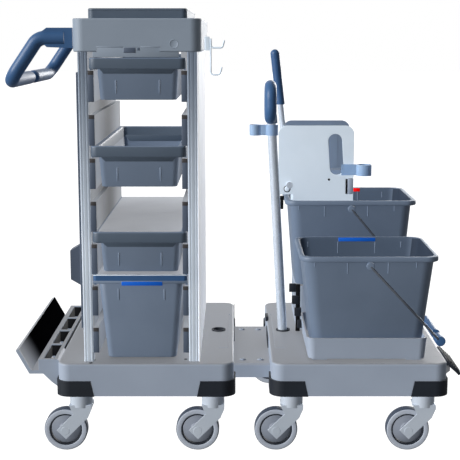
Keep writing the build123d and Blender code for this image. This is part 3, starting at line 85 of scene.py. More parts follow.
# ---- finishes ----


def linear(red: int, green: int, blue: int) -> Colour:
    """Turns a display colour of 0 to 255 into the linear colour that a shader takes.

    Args:
        red: Red channel.
        green: Green channel.
        blue: Blue channel.

    Returns:
        The three linear channels.
    """
    return tuple(((c / 255 + 0.055) / 1.055) ** 2.4 if c > 10 else c / 3294.6 for c in (red, green, blue))


class Grain(Enum):
    """Surface grain of a finish, as its mould or mill leaves it."""

    SPARK = (1.0, 1.0, 1.0)
    BRUSHED = (1.0, 1.0, 0.02)


CLOUD_SCALE = 9.0
CLOUD_SPAN = (0.35, 0.75)
EDGE_SAMPLES = 4
EDGE_LIMIT = 0.8
# Edges lighten partly as wear and partly as a painted highlight.
WEAR_AND_HIGHLIGHT_GAIN = 1.5
WEAR_AND_HIGHLIGHT_LIFT = 0.08
ROUGH_SPAN = (0.85, 1.2)
RELIEF = 0.6
UPWARD_SPAN = (0.3, 0.95)


def add_node(
    tree: Tree, kind: str, values: dict[str | int, object] | None = None, **settings: object
) -> bpy.types.Node:
    """Adds one node to a tree.

    Args:
        tree: Node tree.
        kind: Type of the node.
        values: Value or incoming socket of its inputs.
        settings: Its own settings.

    Returns:
        The new node.
    """
    made = tree.nodes.new(kind)
    for name, setting in settings.items():
        setattr(made, name, setting)
    for name, value in (values or {}).items():
        if isinstance(value, Socket):
            tree.links.new(value, made.inputs[name])
        else:
            made.inputs[name].default_value = value
    return made


def mix(tree: Tree, share: Socket, start: object, end: object) -> Socket:
    """Blends two colours.

    Args:
        tree: Node tree.
        share: Share of the second colour.
        start: First colour, or the socket that gives it.
        end: Second colour.

    Returns:
        The blended colour.
    """
    values = {"Factor": share, "A": start, "B": end}
    return add_node(tree, "ShaderNodeMix", values, data_type="RGBA").outputs["Result"]


@dataclass(frozen=True)
class Fade:
    """Slow change of colour along one direction of the object.

    Attributes:
        axis: Direction of the change.
        start: Where it starts, in metres.
        end: Where it ends, in metres.
        colour: Linear colour at its end.
        strength: How far it goes, from 0 to 1.
        there_and_back: True if it is strongest half-way and ends where it started.
    """

    axis: str
    start: float
    end: float
    colour: Colour
    strength: float = 1.0
    there_and_back: bool = False


@dataclass(frozen=True)
class Finish:
    """One procedural finish.

    Attributes:
        name: Material name.
        colour: Linear base colour.
        shade: Linear colour that the mottling drifts towards.
        roughness: Mean roughness.
        metallic: Metal share.
        grain: Kind of grain.
        grain_size: Noise scale of the grain, per metre.
        bump: Height of the grain, in metres.
        edge: Radius of the softened edges, in metres.
        wear_and_highlight: How far edges lighten, as wear and as a painted highlight, from 0 to 1.
        coat: Clear coat weight.
        transmission: Share of light that passes.
        specular: Strength of plain reflections.
        top_light: Linear colour of the light painted on the faces that look up, or nothing.
        fades: Slow changes of colour over the piece.
    """

    name: str
    colour: Colour
    shade: Colour
    roughness: float = 0.45
    metallic: float = 0.0
    grain: Grain = Grain.SPARK
    grain_size: float = 900.0
    bump: float = 0.00003
    edge: float = 0.0012
    wear_and_highlight: float = 0.25
    coat: float = 0.0
    transmission: float = 0.0
    specular: float = 0.5
    top_light: Colour | None = None
    fades: tuple[Fade, ...] = ()

    def material(self) -> bpy.types.Material:
        """Builds the node tree once and returns the material."""
        known = f"finish_{self.name}"
        found = bpy.data.materials.get(known)
        if found is not None:
            return found
        made = bpy.data.materials.new(known)
        made.use_nodes = True
        tree = made.node_tree
        links = tree.links
        shader = tree.nodes["Principled BSDF"]
        shader.inputs["Metallic"].default_value = self.metallic
        shader.inputs["Coat Weight"].default_value = self.coat
        shader.inputs["Specular IOR Level"].default_value = self.specular
        shader.inputs["Transmission Weight"].default_value = self.transmission
        where = add_node(tree, "ShaderNodeTexCoord").outputs["Object"]
        facing = add_node(tree, "ShaderNodeNewGeometry").outputs["Normal"]
        rounded = add_node(tree, "ShaderNodeBevel", {"Radius": self.edge}, samples=EDGE_SAMPLES)
        soft = rounded.outputs["Normal"]
        colour = self.worn_and_highlit(tree, soft, facing, self.mottled(tree, where))
        if self.top_light is not None:
            colour = self.top_lit(tree, facing, colour)
        for fade in self.fades:
            colour = self.faded(tree, where, colour, fade)
        links.new(colour, shader.inputs["Base Color"])
        stretch = add_node(tree, "ShaderNodeMapping", {"Vector": where, "Scale": self.grain.value})
        grain = {"Vector": stretch.outputs["Vector"], "Scale": self.grain_size, "Detail": 3.0}
        fine = add_node(tree, "ShaderNodeTexNoise", grain).outputs["Fac"]
        low, high = (self.roughness * share for share in ROUGH_SPAN)
        rough = add_node(tree, "ShaderNodeMapRange", {"Value": fine, "To Min": low, "To Max": min(1.0, high)})
        lift = {"Height": fine, "Normal": soft, "Distance": self.bump, "Strength": RELIEF}
        relief = add_node(tree, "ShaderNodeBump", lift)
        links.new(rough.outputs["Result"], shader.inputs["Roughness"])
        links.new(relief.outputs["Normal"], shader.inputs["Normal"])
        return made

    def mottled(self, tree: Tree, where: Socket) -> Socket:
        """Drifts slowly between the base colour and the shade.

        Args:
            tree: Node tree of the material.
            where: Object coordinate.

        Returns:
            The mottled colour.
        """
        noise = {"Vector": where, "Scale": CLOUD_SCALE, "Detail": 4.0}
        cloud = add_node(tree, "ShaderNodeTexNoise", noise).outputs["Fac"]
        span = {"Value": cloud, "From Min": CLOUD_SPAN[0], "From Max": CLOUD_SPAN[1]}
        spread = add_node(tree, "ShaderNodeMapRange", span).outputs["Result"]
        return mix(tree, spread, (*self.colour, 1), (*self.shade, 1))

    def worn_and_highlit(
        self,
        tree: Tree,
        soft: Socket,
        facing: Socket,
        colour: Socket,
    ) -> Socket:
        """Lightens the edges, as wear and as a painted highlight.

        Args:
            tree: Node tree of the material.
            soft: Direction of the surface with its edges rounded.
            facing: Direction of the surface.
            colour: Colour so far.

        Returns:
            The colour with lighter edges.
        """
        turn = add_node(tree, "ShaderNodeVectorMath", {0: soft, 1: facing}, operation="DOT_PRODUCT")
        span = {"Value": turn.outputs["Value"], "From Min": 1.0, "From Max": EDGE_LIMIT, "To Max": self.wear_and_highlight}
        rim = add_node(tree, "ShaderNodeMapRange", span).outputs["Result"]
        light = tuple(min(1.0, c * WEAR_AND_HIGHLIGHT_GAIN + WEAR_AND_HIGHLIGHT_LIFT) for c in self.colour)
        return mix(tree, rim, colour, (*light, 1))

    def top_lit(
        self, tree: Tree, facing: Socket, colour: Socket
    ) -> Socket:
        """Paints light on the faces that look up, as a tint.

        Args:
            tree: Node tree of the material.
            facing: Direction of the surface.
            colour: Colour so far.

        Returns:
            The tinted colour.
        """
        # Painted light: faces that look up blend towards the top light colour.
        split = add_node(tree, "ShaderNodeSeparateXYZ", {"Vector": facing})
        span = {"Value": split.outputs["Z"], "From Min": UPWARD_SPAN[0], "From Max": UPWARD_SPAN[1]}
        upward = add_node(tree, "ShaderNodeMapRange", span).outputs["Result"]
        return mix(tree, upward, colour, (*self.top_light, 1))

    @staticmethod
    def faded(
        tree: Tree, where: Socket, colour: Socket, fade: Fade
    ) -> Socket:
        """Adds one fade over a colour.

        Args:
            tree: Node tree of the material.
            where: Object coordinate.
            colour: Colour so far.
            fade: What to add.

        Returns:
            The colour with the fade over it.
        """
        split = add_node(tree, "ShaderNodeSeparateXYZ", {"Vector": where})
        top = 2.0 if fade.there_and_back else 1.0
        along = split.outputs[fade.axis]
        span = {"Value": along, "From Min": fade.start, "From Max": fade.end, "To Max": top}
        ramp = add_node(tree, "ShaderNodeMapRange", span).outputs["Result"]
        turn = add_node(tree, "ShaderNodeMath", {0: ramp, 1: 1.0}, operation="PINGPONG").outputs["Value"]
        share = {"Value": turn, "To Max": fade.strength}
        ease = add_node(tree, "ShaderNodeMapRange", share, interpolation_type="SMOOTHSTEP")
        return mix(tree, ease.outputs["Result"], colour, (*fade.colour, 1))


# The deck's upward faces take a painted light tint.
DECK = Finish("deck_plastic", linear(146, 156, 171), linear(140, 150, 165), 0.5, specular=0.3,
              top_light=linear(137, 139, 143))
TRAY = Finish("tray_plastic", linear(130, 141, 154), linear(124, 135, 148), 0.5, specular=0.4)
BODY = Finish("dark_plastic", linear(105, 119, 138), linear(98, 112, 131), 0.48)
RIM = Finish("rim_plastic", linear(74, 87, 102), linear(68, 81, 96), 0.5)
BUCKET = Finish("bucket_plastic", linear(100, 114, 133), linear(93, 107, 126), 0.48, specular=0.4)
SLATE = Finish("slate_plastic", linear(74, 85, 102), linear(67, 78, 95), 0.5)
UMBER = Finish("umber_plastic", linear(58, 55, 56), linear(48, 46, 47), 0.5)
BLACK = Finish("black_plastic", linear(16, 17, 20), linear(10, 11, 13), 0.6, specular=0.1)
# Near-black painted shade for the rack's flap and pockets, painted lighter towards the front end.
RACK_SHADE = Finish("rack_painted_shade", linear(5, 5, 6), linear(3, 3, 4), 0.9, edge=0.0002, wear_and_highlight=0.0, specular=0.0,
               fades=(Fade("Y", -0.12, -0.285, linear(190, 191, 194), 0.9),))
DISC = Finish("disc_plastic", linear(128, 134, 145), linear(112, 119, 131), 0.4, specular=0.3)
TYRE = Finish("tyre_rubber", linear(166, 173, 184), linear(156, 163, 175), 0.5, specular=0.3)
CASTER = Finish("caster_plastic", linear(176, 184, 194), linear(165, 174, 185), 0.3, wear_and_highlight=0.15)
TREAD = Finish("caster_tread", linear(64, 72, 86), linear(54, 62, 76), 0.6, specular=0.3)
BLUE_TAG = Finish("blue_tag", linear(14, 92, 196), linear(12, 86, 186), 0.5, specular=0.2)
RED_TAG = Finish("red_tag", linear(252, 8, 4), linear(238, 6, 4), 0.5, specular=0.2)
# The rail panels' fade is painted shade, darkest half-way along their depth.
RAIL = Finish("rail_plastic", linear(168, 171, 176), linear(156, 160, 166), 0.6, specular=0.15,
              fades=(Fade("Y", -0.27, 0.25, linear(46, 49, 56), 0.85, True),))
PANEL = Finish("panel_plastic", linear(244, 245, 248), linear(232, 234, 239), 0.5, specular=0.3)
PALE = Finish("pale_plastic", linear(214, 225, 235), linear(206, 218, 229), 0.5, specular=0.3)
COVER = Finish("cover_plastic", linear(182, 184, 188), linear(174, 176, 181), 0.55, specular=0.4)
SIDE = Finish("side_cover_plastic", linear(66, 76, 92), linear(58, 68, 84), 0.5)
BLUE = Finish("blue_plastic", linear(52, 86, 126), linear(42, 75, 115), 0.42, specular=0.35)
CLEAR = Finish("clear_blue_plastic", linear(150, 174, 200), linear(118, 146, 180), 0.2, coat=0.3,
               transmission=0.25)
RUBBER = Finish("black_rubber", linear(24, 30, 39), linear(18, 23, 31), 0.6, grain_size=1500, bump=0.00005,
                specular=0.3)
ZINC = Finish("zinc_steel", linear(176, 178, 182), linear(160, 163, 168), 0.35, metallic=0.9)
ALUMINIUM = Finish("anodised_tube", linear(214, 222, 232), linear(194, 205, 218), 0.26, 0.5, Grain.BRUSHED)
POST = Finish("anodised_post", linear(214, 224, 235), linear(200, 211, 223), 0.34, 0.35, Grain.BRUSHED,
              fades=(Fade("Z", 0.45, 0.95, linear(118, 130, 146)),))
WIRE = Finish("bright_wire", linear(118, 124, 134), linear(84, 90, 100), 0.22, 0.7)
# Darker copies of the bucket plastic: painted shade on the inside walls.
SHADE = Finish("bucket_inside_painted_shade", linear(76, 89, 106), linear(70, 82, 99), 0.6, specular=0.2)
DEEP_SHADE = Finish("bucket_deep_painted_shade", linear(46, 55, 69), linear(41, 50, 63), 0.7, specular=0.1)

FINISHED_NODES: tuple[tuple[Finish, str], ...] = (
    (DECK, "base_left base_right bridge_plate bridge_screws side_rack bucket_cradle"),
    (RUBBER, "corner_bumpers socket_collars brake_pedal"),
    (ZINC, "caster_bushes pedal_hinge"),
    (POST, "tower_posts"),
    (ALUMINIUM, "mast press_lever"),
    (BLUE, "push_handle_front push_handle_rear bin_frame mast_grip press_lever_grip"),
    (BLUE, "front_bail_grip rear_bail_grip"),
    (TRAY, "top_tray"),
    (RIM, "top_box top_box_lid"),
    (RAIL, "rail_panel_left rail_panel_right"),
    (PANEL, "side_panel_right"),
    (SIDE, "side_panel_left"),
    (PALE, "press_frame tray_hooks"),
    (CLEAR, "mast_clip press_clip"),
    (WIRE, "front_bail rear_bail"),
    (COVER, "drawer_covers bin_lid"),
)
NODE_FINISHES = {node: finish for finish, nodes in FINISHED_NODES for node in nodes.split()}


def dress(node: str, finish: Finish) -> None:
    """Gives a carried-over CAD node its finish.

    Args:
        node: Name of the node.
        finish: Finish to put on it.
    """
    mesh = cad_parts[node].data
    mesh.materials.clear()
    mesh.materials.append(finish.material())


# ---- workshop ----


class Axis(Enum):
    """Direction in which a round piece faces."""

    Y = (0.0, 1.0, 0.0)
    Z = (0.0, 0.0, 1.0)


def settle() -> None:
    """Brings the selected piece to the origin, unturned and unscaled, without moving its shape."""
    bpy.ops.object.transform_apply(location=True, rotation=True, scale=True)


def block(name: str, low: Point, high: Point) -> Piece:
    """Starts a piece from a box between two corners, in millimetres.

    Args:
        name: Name of the piece.
        low: Lowest corner.
        high: Highest corner.

    Returns:
        The new object, at the origin and unscaled.
    """
    bpy.ops.object.select_all(action="DESELECT")
    centre = tuple((a + b) / 2 * MM for a, b in zip(low, high))
    size = tuple((b - a) * MM for a, b in zip(low, high))
    bpy.ops.mesh.primitive_cube_add(size=1, location=centre, scale=size)
    made = bpy.context.object
    made.name = made.data.name = name
    settle()
    return made


def disc(
    name: str, centre: Point, radius: float, depth: float, axis: Axis, sides: int = 32
) -> Piece:
    """Starts a piece from a disc, in millimetres.

    Args:
        name: Name of the piece.
        centre: Its centre.
        radius: Its radius.
        depth: Its thickness.
        axis: The way it faces.
        sides: Number of sides.

    Returns:
        The new object, at the origin and unscaled.
    """
    bpy.ops.object.select_all(action="DESELECT")
    turn = Vector(axis.value).to_track_quat("Z", "Y").to_euler()
    spot = [c * MM for c in centre]
    bpy.ops.mesh.primitive_cylinder_add(
        vertices=sides, radius=radius * MM, depth=depth * MM, location=spot, rotation=turn
    )
    made = bpy.context.object
    made.name = made.data.name = name
    settle()
    return made


def clear_choice(made: Piece, mode: tuple[bool, bool, bool]) -> None:
    """Leaves edit mode with nothing of a piece selected.

    Args:
        made: Piece to work on.
        mode: Whether points, edges and faces are picked next.
    """
    bpy.ops.object.mode_set(mode="OBJECT")
    bpy.context.tool_settings.mesh_select_mode = mode
    for group in (made.data.vertices, made.data.edges, made.data.polygons):
        group.foreach_set("select", [False] * len(group))


def pick_faces(made: Piece, test: FaceTest) -> None:
    """Enters edit mode with only the faces selected that pass a test.

    Args:
        made: Piece to work on.
        test: Says whether a face is wanted.
    """
    clear_choice(made, (False, False, True))
    for face in made.data.polygons:
        if test(face):
            face.select = True
    bpy.ops.object.mode_set(mode="EDIT")


def pick_edges(made: Piece, test: Callable[[Vector, Vector], bool]) -> None:
    """Enters edit mode with only the edges selected that pass a test.

    Args:
        made: Piece to work on.
        test: Says whether the edge between two points is wanted.
    """
    clear_choice(made, (False, True, False))
    points = made.data.vertices
    for edge in made.data.edges:
        start, end = edge.vertices
        if test(points[start].co, points[end].co):
            edge.select = True
    bpy.ops.object.mode_set(mode="EDIT")


def take(made: Piece) -> None:
    """Makes a piece the only one selected, in object mode."""
    if bpy.context.object and bpy.context.object.mode != "OBJECT":
        bpy.ops.object.mode_set(mode="OBJECT")
    bpy.ops.object.select_all(action="DESELECT")
    made.select_set(True)
    bpy.context.view_layer.objects.active = made


def soften(made: Piece, width: float, segments: int = 2, angle: float = 35) -> None:
    """Rounds the sharp edges of a piece and smooths its shading.

    Args:
        made: Piece to work on.
        width: Width of the rounding, in millimetres.
        segments: Steps in the rounding.
        angle: Sharpest edge that stays as it is, in degrees.
    """
    take(made)
    rounding = made.modifiers.new("rounding", "BEVEL")
    rounding.width = width * MM
    rounding.segments = segments
    rounding.limit_method = "ANGLE"
    rounding.angle_limit = math.radians(angle)
    bpy.ops.object.modifier_apply(modifier="rounding")
    bpy.ops.object.shade_smooth_by_angle(angle=math.radians(angle + 5))


def paint(made: Piece, finish: Finish) -> Piece:
    """Gives a modelled piece its finish and hands it back."""
    made.data.materials.clear()
    made.data.materials.append(finish.material())
    return made


def trim_faces(made: Piece, finish: Finish, test: FaceTest) -> None:
    """Gives the faces that pass a test a second finish.

    Args:
        made: Piece to work on.
        finish: The second finish.
        test: Says whether a face takes it.
    """
    made.data.materials.append(finish.material())
    last = len(made.data.materials) - 1
    for face in made.data.polygons:
        if test(face):
            face.material_index = last


def together(name: str, parts: list[Piece]) -> Piece:
    """Joins finished parts into one piece that keeps each part's finish.

    Args:
        name: Name of the joined piece.
        parts: What to join.

    Returns:
        The joined piece.
    """
    take(parts[0])
    for part in parts[1:]:
        part.select_set(True)
    if len(parts) > 1:
        bpy.ops.object.join()
    made = bpy.context.view_layer.objects.active
    made.name = made.data.name = name
    return made


def place(made: Piece, body: str, stands_for: tuple[str, ...] = ()) -> None:
    """Puts a finished piece on its body and reports it.

    Args:
        made: The piece.
        body: Body that carries it.
        stands_for: CAD nodes that it replaces.
    """
    if stands_for:
        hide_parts(*stands_for)
    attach(made, body)
    LOG.info("piece %s on %s, %d faces", made.name, body, len(made.data.polygons))


# ---- moulded tubs ----


@dataclass
class Tub:
    """Moulded tub, drawn up from its foot through its lip and down to its inner floor.

    Attributes:
        name: Name of the shell.
        centre: Its centre in plan.
        corner: Plan radius of its corners.
        sections: Height, width and depth of each section in turn.
        finish: What it is moulded in.
        lip: Rounding of its edges.
        steps: Steps in each rounded corner.
    """

    name: str
    centre: tuple[float, float]
    corner: float
    sections: list[tuple[float, float, float]]
    finish: Finish
    lip: float = 1.2
    steps: int = 6

    def shell(self) -> Piece:
        """Models the tub and returns it."""
        (low, width, depth), rest = self.sections[0], self.sections[1:]
        x, y = self.centre
        near = (x - width / 2, y - depth / 2, low)
        far = (x + width / 2, y + depth / 2, rest[0][0])
        made = block(self.name, near, far)
        pick_edges(made, lambda a, b: abs(a.z - b.z) > MM)
        bpy.ops.mesh.bevel(offset=self.corner * MM, segments=self.steps, affect="EDGES")
        pick_faces(made, lambda face: face.normal.z > 0.9)
        self.fit(rest[0], width, depth)
        for before, after in zip(rest, rest[1:]):
            rise = (after[0] - before[0]) * MM
            bpy.ops.mesh.extrude_region_move(TRANSFORM_OT_translate={"value": (0, 0, rise)})
            self.fit(after, before[1], before[2])
        bpy.ops.object.mode_set(mode="OBJECT")
        soften(made, self.lip)
        return paint(made, self.finish)

    def fit(self, section: tuple[float, float, float], width: float, depth: float) -> None:
        """Resizes the selected face from one width and depth to those of a section."""
        centre = (self.centre[0] * MM, self.centre[1] * MM, section[0] * MM)
        bpy.ops.transform.resize(value=(section[1] / width, section[2] / depth, 1), center_override=centre)


def rib(name: str, low: Point, high: Point, finish: Finish, rounding: float = 0.6) -> Piece:
    """Models one raised, rounded bar between two corners and returns it.

    Args:
        name: Name of the bar.
        low: Lowest corner.
        high: Highest corner.
        finish: What it is made of.
        rounding: Rounding of its edges.

    Returns:
        The finished bar.
    """
    made = block(name, low, high)
    soften(made, rounding)
    return paint(made, finish)


@dataclass
class Drawer:
    """Drawer that hangs by its rim in the tower.

    Attributes:
        name: CAD node it stands for.
        body: Body that carries it.
        ledge: Height of the ledge that its rim rides on.
        centre_x: Its centre along X.
        rim_w: Width over the rim.
        depth: Depth over the rim.
        tub_w: Width of the tub under the rim.
        height: Height from underside to rim.
        rim_h: Height of the rim.
        runner_h: Height of the runners under the rim.
    """

    name: str
    body: str
    ledge: float
    centre_x: float = TOWER_X
    rim_w: float = 212.6
    depth: float = 570.0
    tub_w: float = 178.0
    height: float = 92.0
    rim_h: float = 24.5
    runner_h: float = 3.2

    def build(self) -> None:
        """Models the tub, the pull under its rim, its ribs and its runners."""
        x, rim = self.centre_x, self.ledge + self.runner_h
        top = rim + self.rim_h
        low = top - self.height
        inner = self.tub_w - 5
        sections = [
            (low, self.tub_w - 9, self.depth - 28),
            (rim, self.tub_w, self.depth - 16),
            (rim, self.rim_w - 1, self.depth - 1),
            (rim + 2, self.rim_w, self.depth),
            (top - 2.5, self.rim_w, self.depth),
            (top, self.rim_w - 4, self.depth - 4),
            (top, inner + 6, self.depth - 12),
            (top - 3, inner + 1, self.depth - 17),
            (rim - 3, inner - 1, self.depth - 21),
            (low + 3, inner - 9, self.depth - 34),
        ]
        shell = Tub(self.name, (x, 0), 12, sections, BODY, 1.0).shell()
        trim_faces(shell, RIM, lambda face: face.center.z > (rim + 0.4) * MM and face.normal.z < 0.5)
        parts = [shell]
        for side in (-1, 1):
            parts.append(self.pull(x, rim, side))
            face = side * (self.depth / 2 - 9)
            for offset in (-48, 48):
                parts.append(self.stroke(x + offset, face, rim - 24, side))
            edge = side * (self.rim_w / 2 - 2.5)
            low_corner = (x + edge - 2.5, -self.depth / 2 + 20, self.ledge + 0.3)
            high_corner = (x + edge + 2.5, self.depth / 2 - 20, rim + 4)
            parts.append(rib("runner", low_corner, high_corner, BODY))
        place(together(self.name + "_shell", parts), self.body, (self.name,))

    def pull(self, x: float, rim: float, side: int) -> Piece:
        """Models the sloping pull under the rim at one end and returns it."""
        out = side * self.depth / 2
        near, far = sorted((out - side * 2, out - side * 14))
        made = block("pull", (x - 84, near, rim - 15), (x + 84, far, rim + 1))
        pick_faces(made, lambda face: face.normal.z < -0.9)
        centre = (x * MM, (out - side * 13) * MM, (rim - 15) * MM)
        bpy.ops.transform.resize(value=(0.84, 0.1, 1), center_override=centre)
        bpy.ops.object.mode_set(mode="OBJECT")
        soften(made, 0.8)
        return paint(made, RIM)

    def stroke(self, x: float, face: float, top: float, side: int) -> Piece:
        """Models one shallow upright rib on an end face and returns it."""
        near, far = sorted((face - side * 4, face + side * 1.0))
        return rib("stroke", (x - 1.6, near, top - 30), (x + 1.6, far, top), BODY, 1.2)


@dataclass
class Bucket:
    """Tapered bucket with a rolled lip, ribs under it and an ear at each end.

    Attributes:
        name: CAD node it stands for.
        body: Body that carries it.
        centre: Its centre in plan.
        rim_z: Height of its lip.
        low_z: Height of its underside.
        rim: Width and depth over the lip.
        top: Width and depth under the lip.
        low: Width and depth of the underside.
        tag: Finish of the tag inside its back wall.
        tag_span: Where the tag starts and ends along X.
        rib_xs: Places of the ribs from the centre.
        wall: Thickness of the wall.
        ear_drop: Depth of the ears under the lip.
    """

    name: str
    body: str
    centre: tuple[float, float]
    rim_z: float
    low_z: float
    rim: tuple[float, float]
    top: tuple[float, float]
    low: tuple[float, float]
    tag: Finish
    tag_span: tuple[float, float]
    rib_xs: tuple[float, ...]
    wall: float = 3.0
    ear_drop: float = 20.0

    def build(self) -> None:
        """Models the shell, its ribs, its ears and its tag."""
        (rw, rd), (tw, td), (lw, ld) = self.rim, self.top, self.low
        z, thin = self.rim_z, 2 * self.wall
        sections = [
            (self.low_z, lw, ld),
            (z - 12, tw - 2, td - 2),
            (z - 12, rw - 1.5, rd - 1.5),
            (z - 10, rw, rd),
            (z - 3, rw, rd),
            (z - 0.5, rw - 2, rd - 2),
            (z, rw - 5, rd - 5),
            (z, tw - thin + 5, td - thin + 5),
            (z - 2, tw - thin + 1, td - thin + 1),
            (z - 14, tw - thin - 1, td - thin - 1),
            (self.low_z + self.wall, lw - thin, ld - thin),
        ]
        shell = Tub(self.name, self.centre, 24, sections, BUCKET, 1.0).shell()
        parts = [shell]
        x, y = self.centre
        deep_x, back_y = (x + lw / 2 - 16) * MM, (y + ld / 2 - 16) * MM
        # Painted shade: the inner back wall and the inner right wall take darker finishes.
        trim_faces(shell, SHADE, lambda face: face.normal.y < -0.5 and face.center.y > back_y)
        trim_faces(shell, DEEP_SHADE, lambda face: face.normal.x < -0.5 and face.center.x > deep_x)
        for side in (-1, 1):
            face = y + side * (td / 2 - 1)
            for offset, length in zip(self.rib_xs, (10, 26, 26, 12)):
                near, far = sorted((face - side * 6, face + side * 1.6))
                foot, head = (x + offset - 1, near, z - 14 - length), (x + offset + 1, far, z - 11)
                parts.append(rib("rib", foot, head, BUCKET))
            ear = disc("ear", (x, y + side * (rd / 2 + 0.5), z - self.ear_drop), 9, 11.6, Axis.Y)
            soften(ear, 1.2, 3)
            parts.append(paint(ear, BUCKET))
        back = y + td / 2 - thin / 2 - 1.5
        start, end = self.tag_span
        parts.append(rib("tag", (start, back - 1.6, z - 10), (end, back + 1.5, z - 0.8), self.tag))
        place(together(self.name + "_shell", parts), self.body, (self.name,))


@dataclass
class LinenBin:
    """Tall bin that hangs in the tower by its frame, with a tag on its front.

    Attributes:
        centre_x: Its centre along X.
        rim_z: Height of its rim.
        low_z: Height of its underside.
        width: Width over the rim.
        depth: Depth over the rim.
    """

    centre_x: float = TOWER_X
    rim_z: float = 400.5
    low_z: float = 222.0
    width: float = 190.0
    depth: float = 552.0

    def build(self) -> None:
        """Models the shell, its shallow strokes and its tag."""
        w, d, z = self.width, self.depth, self.rim_z
        sections = [
            (self.low_z, w - 33, d - 32),
            (self.low_z + 3, w - 32, d - 31),
            (z - 0.2, w, d),
            (z - 0.2, w - 5, d - 5),
            (self.low_z + 3, w - 38, d - 37),
        ]
        parts = [Tub("linen_bin", (self.centre_x, 0), 14, sections, BODY, 0.9).shell()]
        front = -d / 2
        left, right = self.centre_x - 107, self.centre_x + 107
        parts.append(rib("flange", (left, front - 9.8, z), (right, front + 4, z + 6.8), BODY, 1.0))
        # Pale strip along the frame's top edge: a painted highlight.
        parts.append(rib("top_edge_highlight", (left + 1, front - 9.9, z + 18.6), (right - 1, front - 6, z + 20.4), PALE))
        tag_left = self.centre_x - 42
        tag_right = tag_left + 92
        parts.append(rib("tag", (tag_left, front - 11.2, z - 4), (tag_right, front + 4, z + 5), BLUE_TAG))
        for offset in (-50, 54):
            low = (self.centre_x + offset - 1.6, front, z - 40)
            parts.append(rib("stroke", low, (self.centre_x + offset + 1.6, front + 6, z - 14), BODY, 1.2))
        place(together("linen_bin_shell", parts), "bin", ("linen_bin",))


# ---- casters ----


@dataclass
class Caster:
    """Wheels with a grey tyre, a dark tread, a dark bead ring that is partly a dark line and partly painted
    shade in the recess, a dished disc and a cap.

    Attributes:
        spots: Axle of each wheel in the plan.
        axle_z: Height of the axles.
        radius: Radius of a wheel.
        width: Width of a wheel.
        tyre: Height of the tyre round the disc.
        bore: Radius of the hole for the axle.
    """

    spots: list[tuple[float, float]]
    axle_z: float = 50.0
    radius: float = 50.0
    width: float = 27.0
    tyre: float = 13.0
    bore: float = 5.05

    def ring(
        self,
        name: str,
        inner: float,
        outer: float,
        width: float,
        corner: float,
        finish: Finish,
        taper: float = 1.0,
    ) -> Piece:
        """Spins a rounded section round the axle and returns the ring.

        Args:
            name: Name of the ring.
            inner: Inner radius.
            outer: Outer radius.
            width: Width along the axle.
            corner: Rounding of the section's corners.
            finish: What it is made of.
            taper: Width of the outer edge as a share of the inner one.

        Returns:
            The finished ring, with its axle through the origin along Y.
        """
        bpy.ops.object.select_all(action="DESELECT")
        middle = ((inner + outer) / 2 * MM, 0, 0)
        bpy.ops.mesh.primitive_plane_add(size=1, location=middle)
        made = bpy.context.object
        made.name = made.data.name = name
        made.scale = ((outer - inner) * MM, width * MM, 1)
        settle()
        pick_edges(made, lambda a, b: min(a.x, b.x) > middle[0])
        bpy.ops.transform.resize(value=(1, taper, 1), center_override=middle)
        bpy.ops.mesh.select_all(action="SELECT")
        bpy.ops.mesh.bevel(offset=corner * MM, segments=3, affect="VERTICES")
        bpy.ops.mesh.delete(type="ONLY_FACE")
        bpy.ops.mesh.select_all(action="SELECT")
        bpy.ops.mesh.spin(steps=48, angle=2 * math.pi, center=(0, 0, 0), axis=(0, 1, 0))
        bpy.ops.mesh.select_all(action="SELECT")
        bpy.ops.mesh.remove_doubles(threshold=0.00002)
        bpy.ops.mesh.normals_make_consistent(inside=False)
        bpy.ops.object.mode_set(mode="OBJECT")
        bpy.ops.object.shade_smooth_by_angle(angle=math.radians(40))
        return paint(made, finish)

    def build(self) -> None:
        """Models one wheel and sets a copy of it on every axle."""
        r, w = self.radius, self.width
        bead = r - self.tyre
        cap = disc("cap", (0, 0, 0), 10, w + 4, Axis.Y)
        soften(cap, 1.2)
        parts = [
            self.ring("tread", bead - 1, r, w - 1.6, 3.4, TREAD),
            self.ring("side", bead + 0.8, r - 1.6, w, 1.2, TYRE),
            # The dark bead ring is partly a dark line on the wheel and partly painted shade in the recess by
            # the disc.
            self.ring("bead", bead - 2.6, bead + 0.4, w - 3, 0.6, RUBBER),
            self.ring("disc", self.bore, bead - 2.4, w - 4, 1.5, DISC, 0.35),
            self.ring("hub", self.bore, 16, w - 3, 2.0, DISC),
            paint(cap, DISC),
        ]
        master = together("wheel_master", parts)
        for number, (x, y) in enumerate(self.spots, start=1):
            made = master.copy()
            made.data = master.data.copy()
            made.name = made.data.name = f"wheel_{number}_tyre_and_hub"
            bpy.context.scene.collection.objects.link(made)
            take(made)
            made.location = (x * MM, y * MM, self.axle_z * MM)
            settle()
            place(made, f"wheel_{number}", (f"caster_wheel_{number}",))
        bpy.data.objects.remove(master)


# ---- trim ----


@dataclass
class RailTrim:
    """Dark edge blocks of the drawer rails, each with a cap, at the front and the back.

    Attributes:
        centre_x: Centre of the tower along X.
        inner: Inner side of a block, from the centre.
        outer: Outer side of a block, from the centre.
        depth: Depth over the rails.
        foot: Height of the lowest block.
    """

    centre_x: float = TOWER_X
    inner: float = 96.0
    outer: float = 109.0
    depth: float = POST_DEPTH
    foot: float = 238.5

    def build(self) -> None:
        """Models the block and the cap that close each stretch of rail."""
        slots = [ledge(step) for step in range(SLOT_COUNT)]
        lows = [self.foot] + [slot + SLOT_H for slot in slots]
        parts = []
        for low, high in zip(lows, slots):
            for side in (-1, 1):
                near, far = sorted((self.centre_x + side * self.inner, self.centre_x + side * self.outer))
                for end in (-1, 1):
                    out = end * (self.depth / 2 + 1.6)
                    front, back = sorted((out, end * (self.depth / 2 - 0.4)))
                    parts.append(rib("edge", (near, front, low + 0.3), (far, back, high - 9), SLATE))
                    parts.append(rib("cap", (near, front, high - 9.5), (far, back, high - 0.3), UMBER))
        place(together("rail_trim", parts), "chassis")


